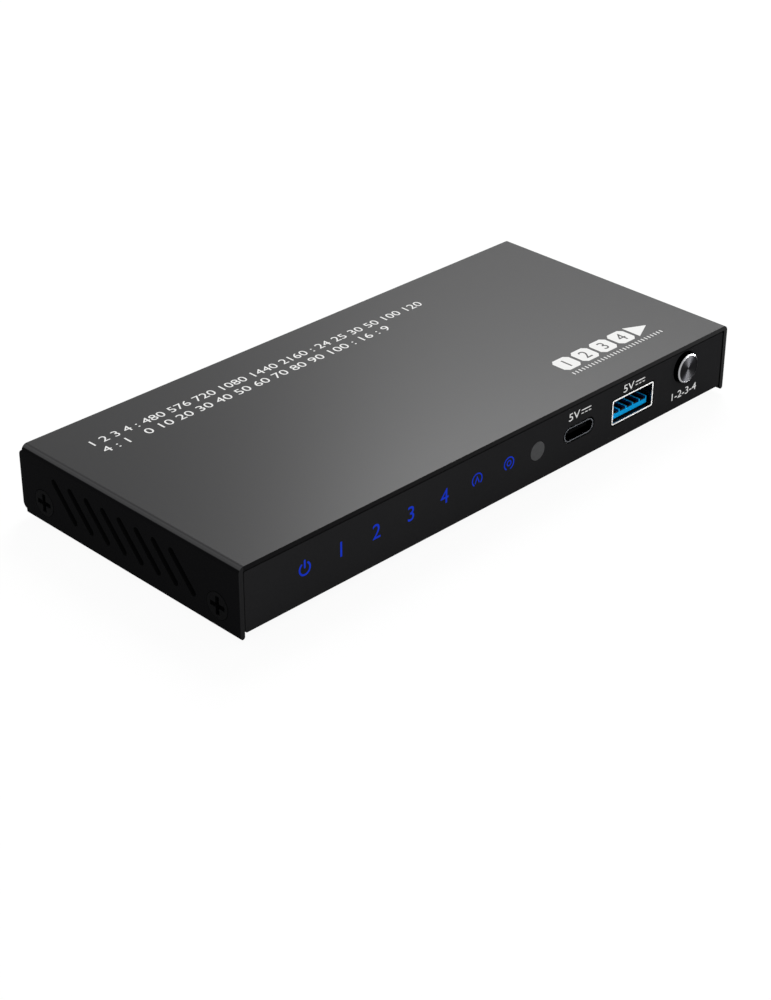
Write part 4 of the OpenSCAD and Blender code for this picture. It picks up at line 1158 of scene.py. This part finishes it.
@dataclass
class Studio:
    """White floor, soft lamps and the camera, placed in metres."""

    camera_place: tuple[float, float, float] = (-0.28018, -0.279872, 0.22064)
    camera_turn: tuple[float, float, float] = (1.040003, -0.001756, -0.781922)
    lens: float = 78.912
    floor_half: float = 6.0
    world_light: float = 0.6
    sensor: float = 36.0
    floor_matt: str = "#e6e6e6"
    floor_faint: str = "#4a4a4a"
    floor_glow: float = 0.94
    lamps: list[SoftBox] = field(default_factory=lambda: [
        SoftBox("lamp_rear_right", (0.646, 0.431, 0.778), (0.03, -0.02, 0.0), (0.39, 0.49), 14.1),
        # Lies below the level of the top, so that only the front and its button mirror it.
        SoftBox("strip_front_right", (0.282, -0.139, 0.008), (0.056, -0.033, 0.008), (0.3, 0.016), 1000.0, True),
    ])

    def build(self) -> None:
        """Sets up the world, the floor, the lamps and the camera."""
        scene = bpy.context.scene
        scene.view_settings.view_transform = "Standard"
        self.world()
        self.floor()
        for lamp in self.lamps:
            lamp.build()
        camera = bpy.data.cameras.new("camera")
        camera.lens = self.lens
        camera.sensor_width = self.sensor
        camera.clip_start, camera.clip_end = 0.01, 30.0
        holder = bpy.data.objects.new("camera", camera)
        scene.collection.objects.link(holder)
        holder.location = self.camera_place
        holder.rotation_euler = self.camera_turn
        scene.camera = holder

    @staticmethod
    def shown(tree: bpy.types.NodeTree) -> bpy.types.NodeSocket:
        """Returns a socket that is 1 where the camera, a mirror or clear plastic sees the surface.

        Args:
            tree: Node tree that the test goes into.

        Returns:
            The socket with the test's result.
        """
        path = add(tree, "ShaderNodeLightPath")
        either = add(tree, "ShaderNodeMath", {"operation": "MAXIMUM"}, {
            0: path.outputs["Is Camera Ray"], 1: path.outputs["Is Glossy Ray"]})
        return add(tree, "ShaderNodeMath", {"operation": "MAXIMUM"}, {
            0: either.outputs[0], 1: path.outputs["Is Transmission Ray"]}).outputs[0]

    def world(self) -> None:
        """Makes a white background that lights the box at a plain level."""
        world = bpy.data.worlds.new("studio_world")
        bpy.context.scene.world = world
        world.use_nodes = True
        tree = world.node_tree
        tree.nodes.clear()
        level = add(tree, "ShaderNodeMapRange", links={
            "Value": self.shown(tree), "To Min": self.world_light, "To Max": 1.0})
        back = add(tree, "ShaderNodeBackground", links={
            "Color": (1.0, 1.0, 1.0, 1.0), "Strength": level.outputs["Result"]})
        add(tree, "ShaderNodeOutputWorld", links={"Surface": back.outputs["Background"]})

    def floor(self) -> None:
        """Makes a white floor that keeps a faint shadow of the box."""
        reach = self.floor_half
        mesh = bpy.data.meshes.new("floor")
        mesh.from_pydata([(-reach, -reach, 0), (reach, -reach, 0), (reach, reach, 0), (-reach, reach, 0)], [],
                         [(0, 1, 2, 3)])
        floor = bpy.data.objects.new("floor", mesh)
        bpy.context.scene.collection.objects.link(floor)
        # Painted board, matt: near white to the eye, with the faint shadow of the box.
        material = bpy.data.materials.new("studio_floor")
        material.use_nodes = True
        tree = material.node_tree
        tree.nodes.clear()
        matt = add(tree, "ShaderNodeBsdfDiffuse", links={"Color": linear(self.floor_matt)})
        faint = add(tree, "ShaderNodeBsdfDiffuse", links={"Color": linear(self.floor_faint)})
        glow = add(tree, "ShaderNodeEmission", links={"Color": (1.0, 1.0, 1.0, 1.0), "Strength": self.floor_glow})
        seen = add(tree, "ShaderNodeAddShader", links={0: faint.outputs["BSDF"], 1: glow.outputs["Emission"]})
        surface = add(tree, "ShaderNodeMixShader", links={
            0: self.shown(tree), 1: matt.outputs["BSDF"], 2: seen.outputs["Shader"]})
        add(tree, "ShaderNodeOutputMaterial", links={"Surface": surface.outputs["Shader"]})
        mesh.materials.append(material)


def main() -> None:
    """Builds the sub-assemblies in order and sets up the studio."""
    logging.basicConfig(level=logging.INFO, format="%(message)s")
    for part in (Enclosure(), IndicatorRow(), Sockets(), SelectButton(), Board()):
        part.build()
        LOG.info("finished %s", type(part).__name__)
    Studio().build()


if __name__ == "__main__":
    main()
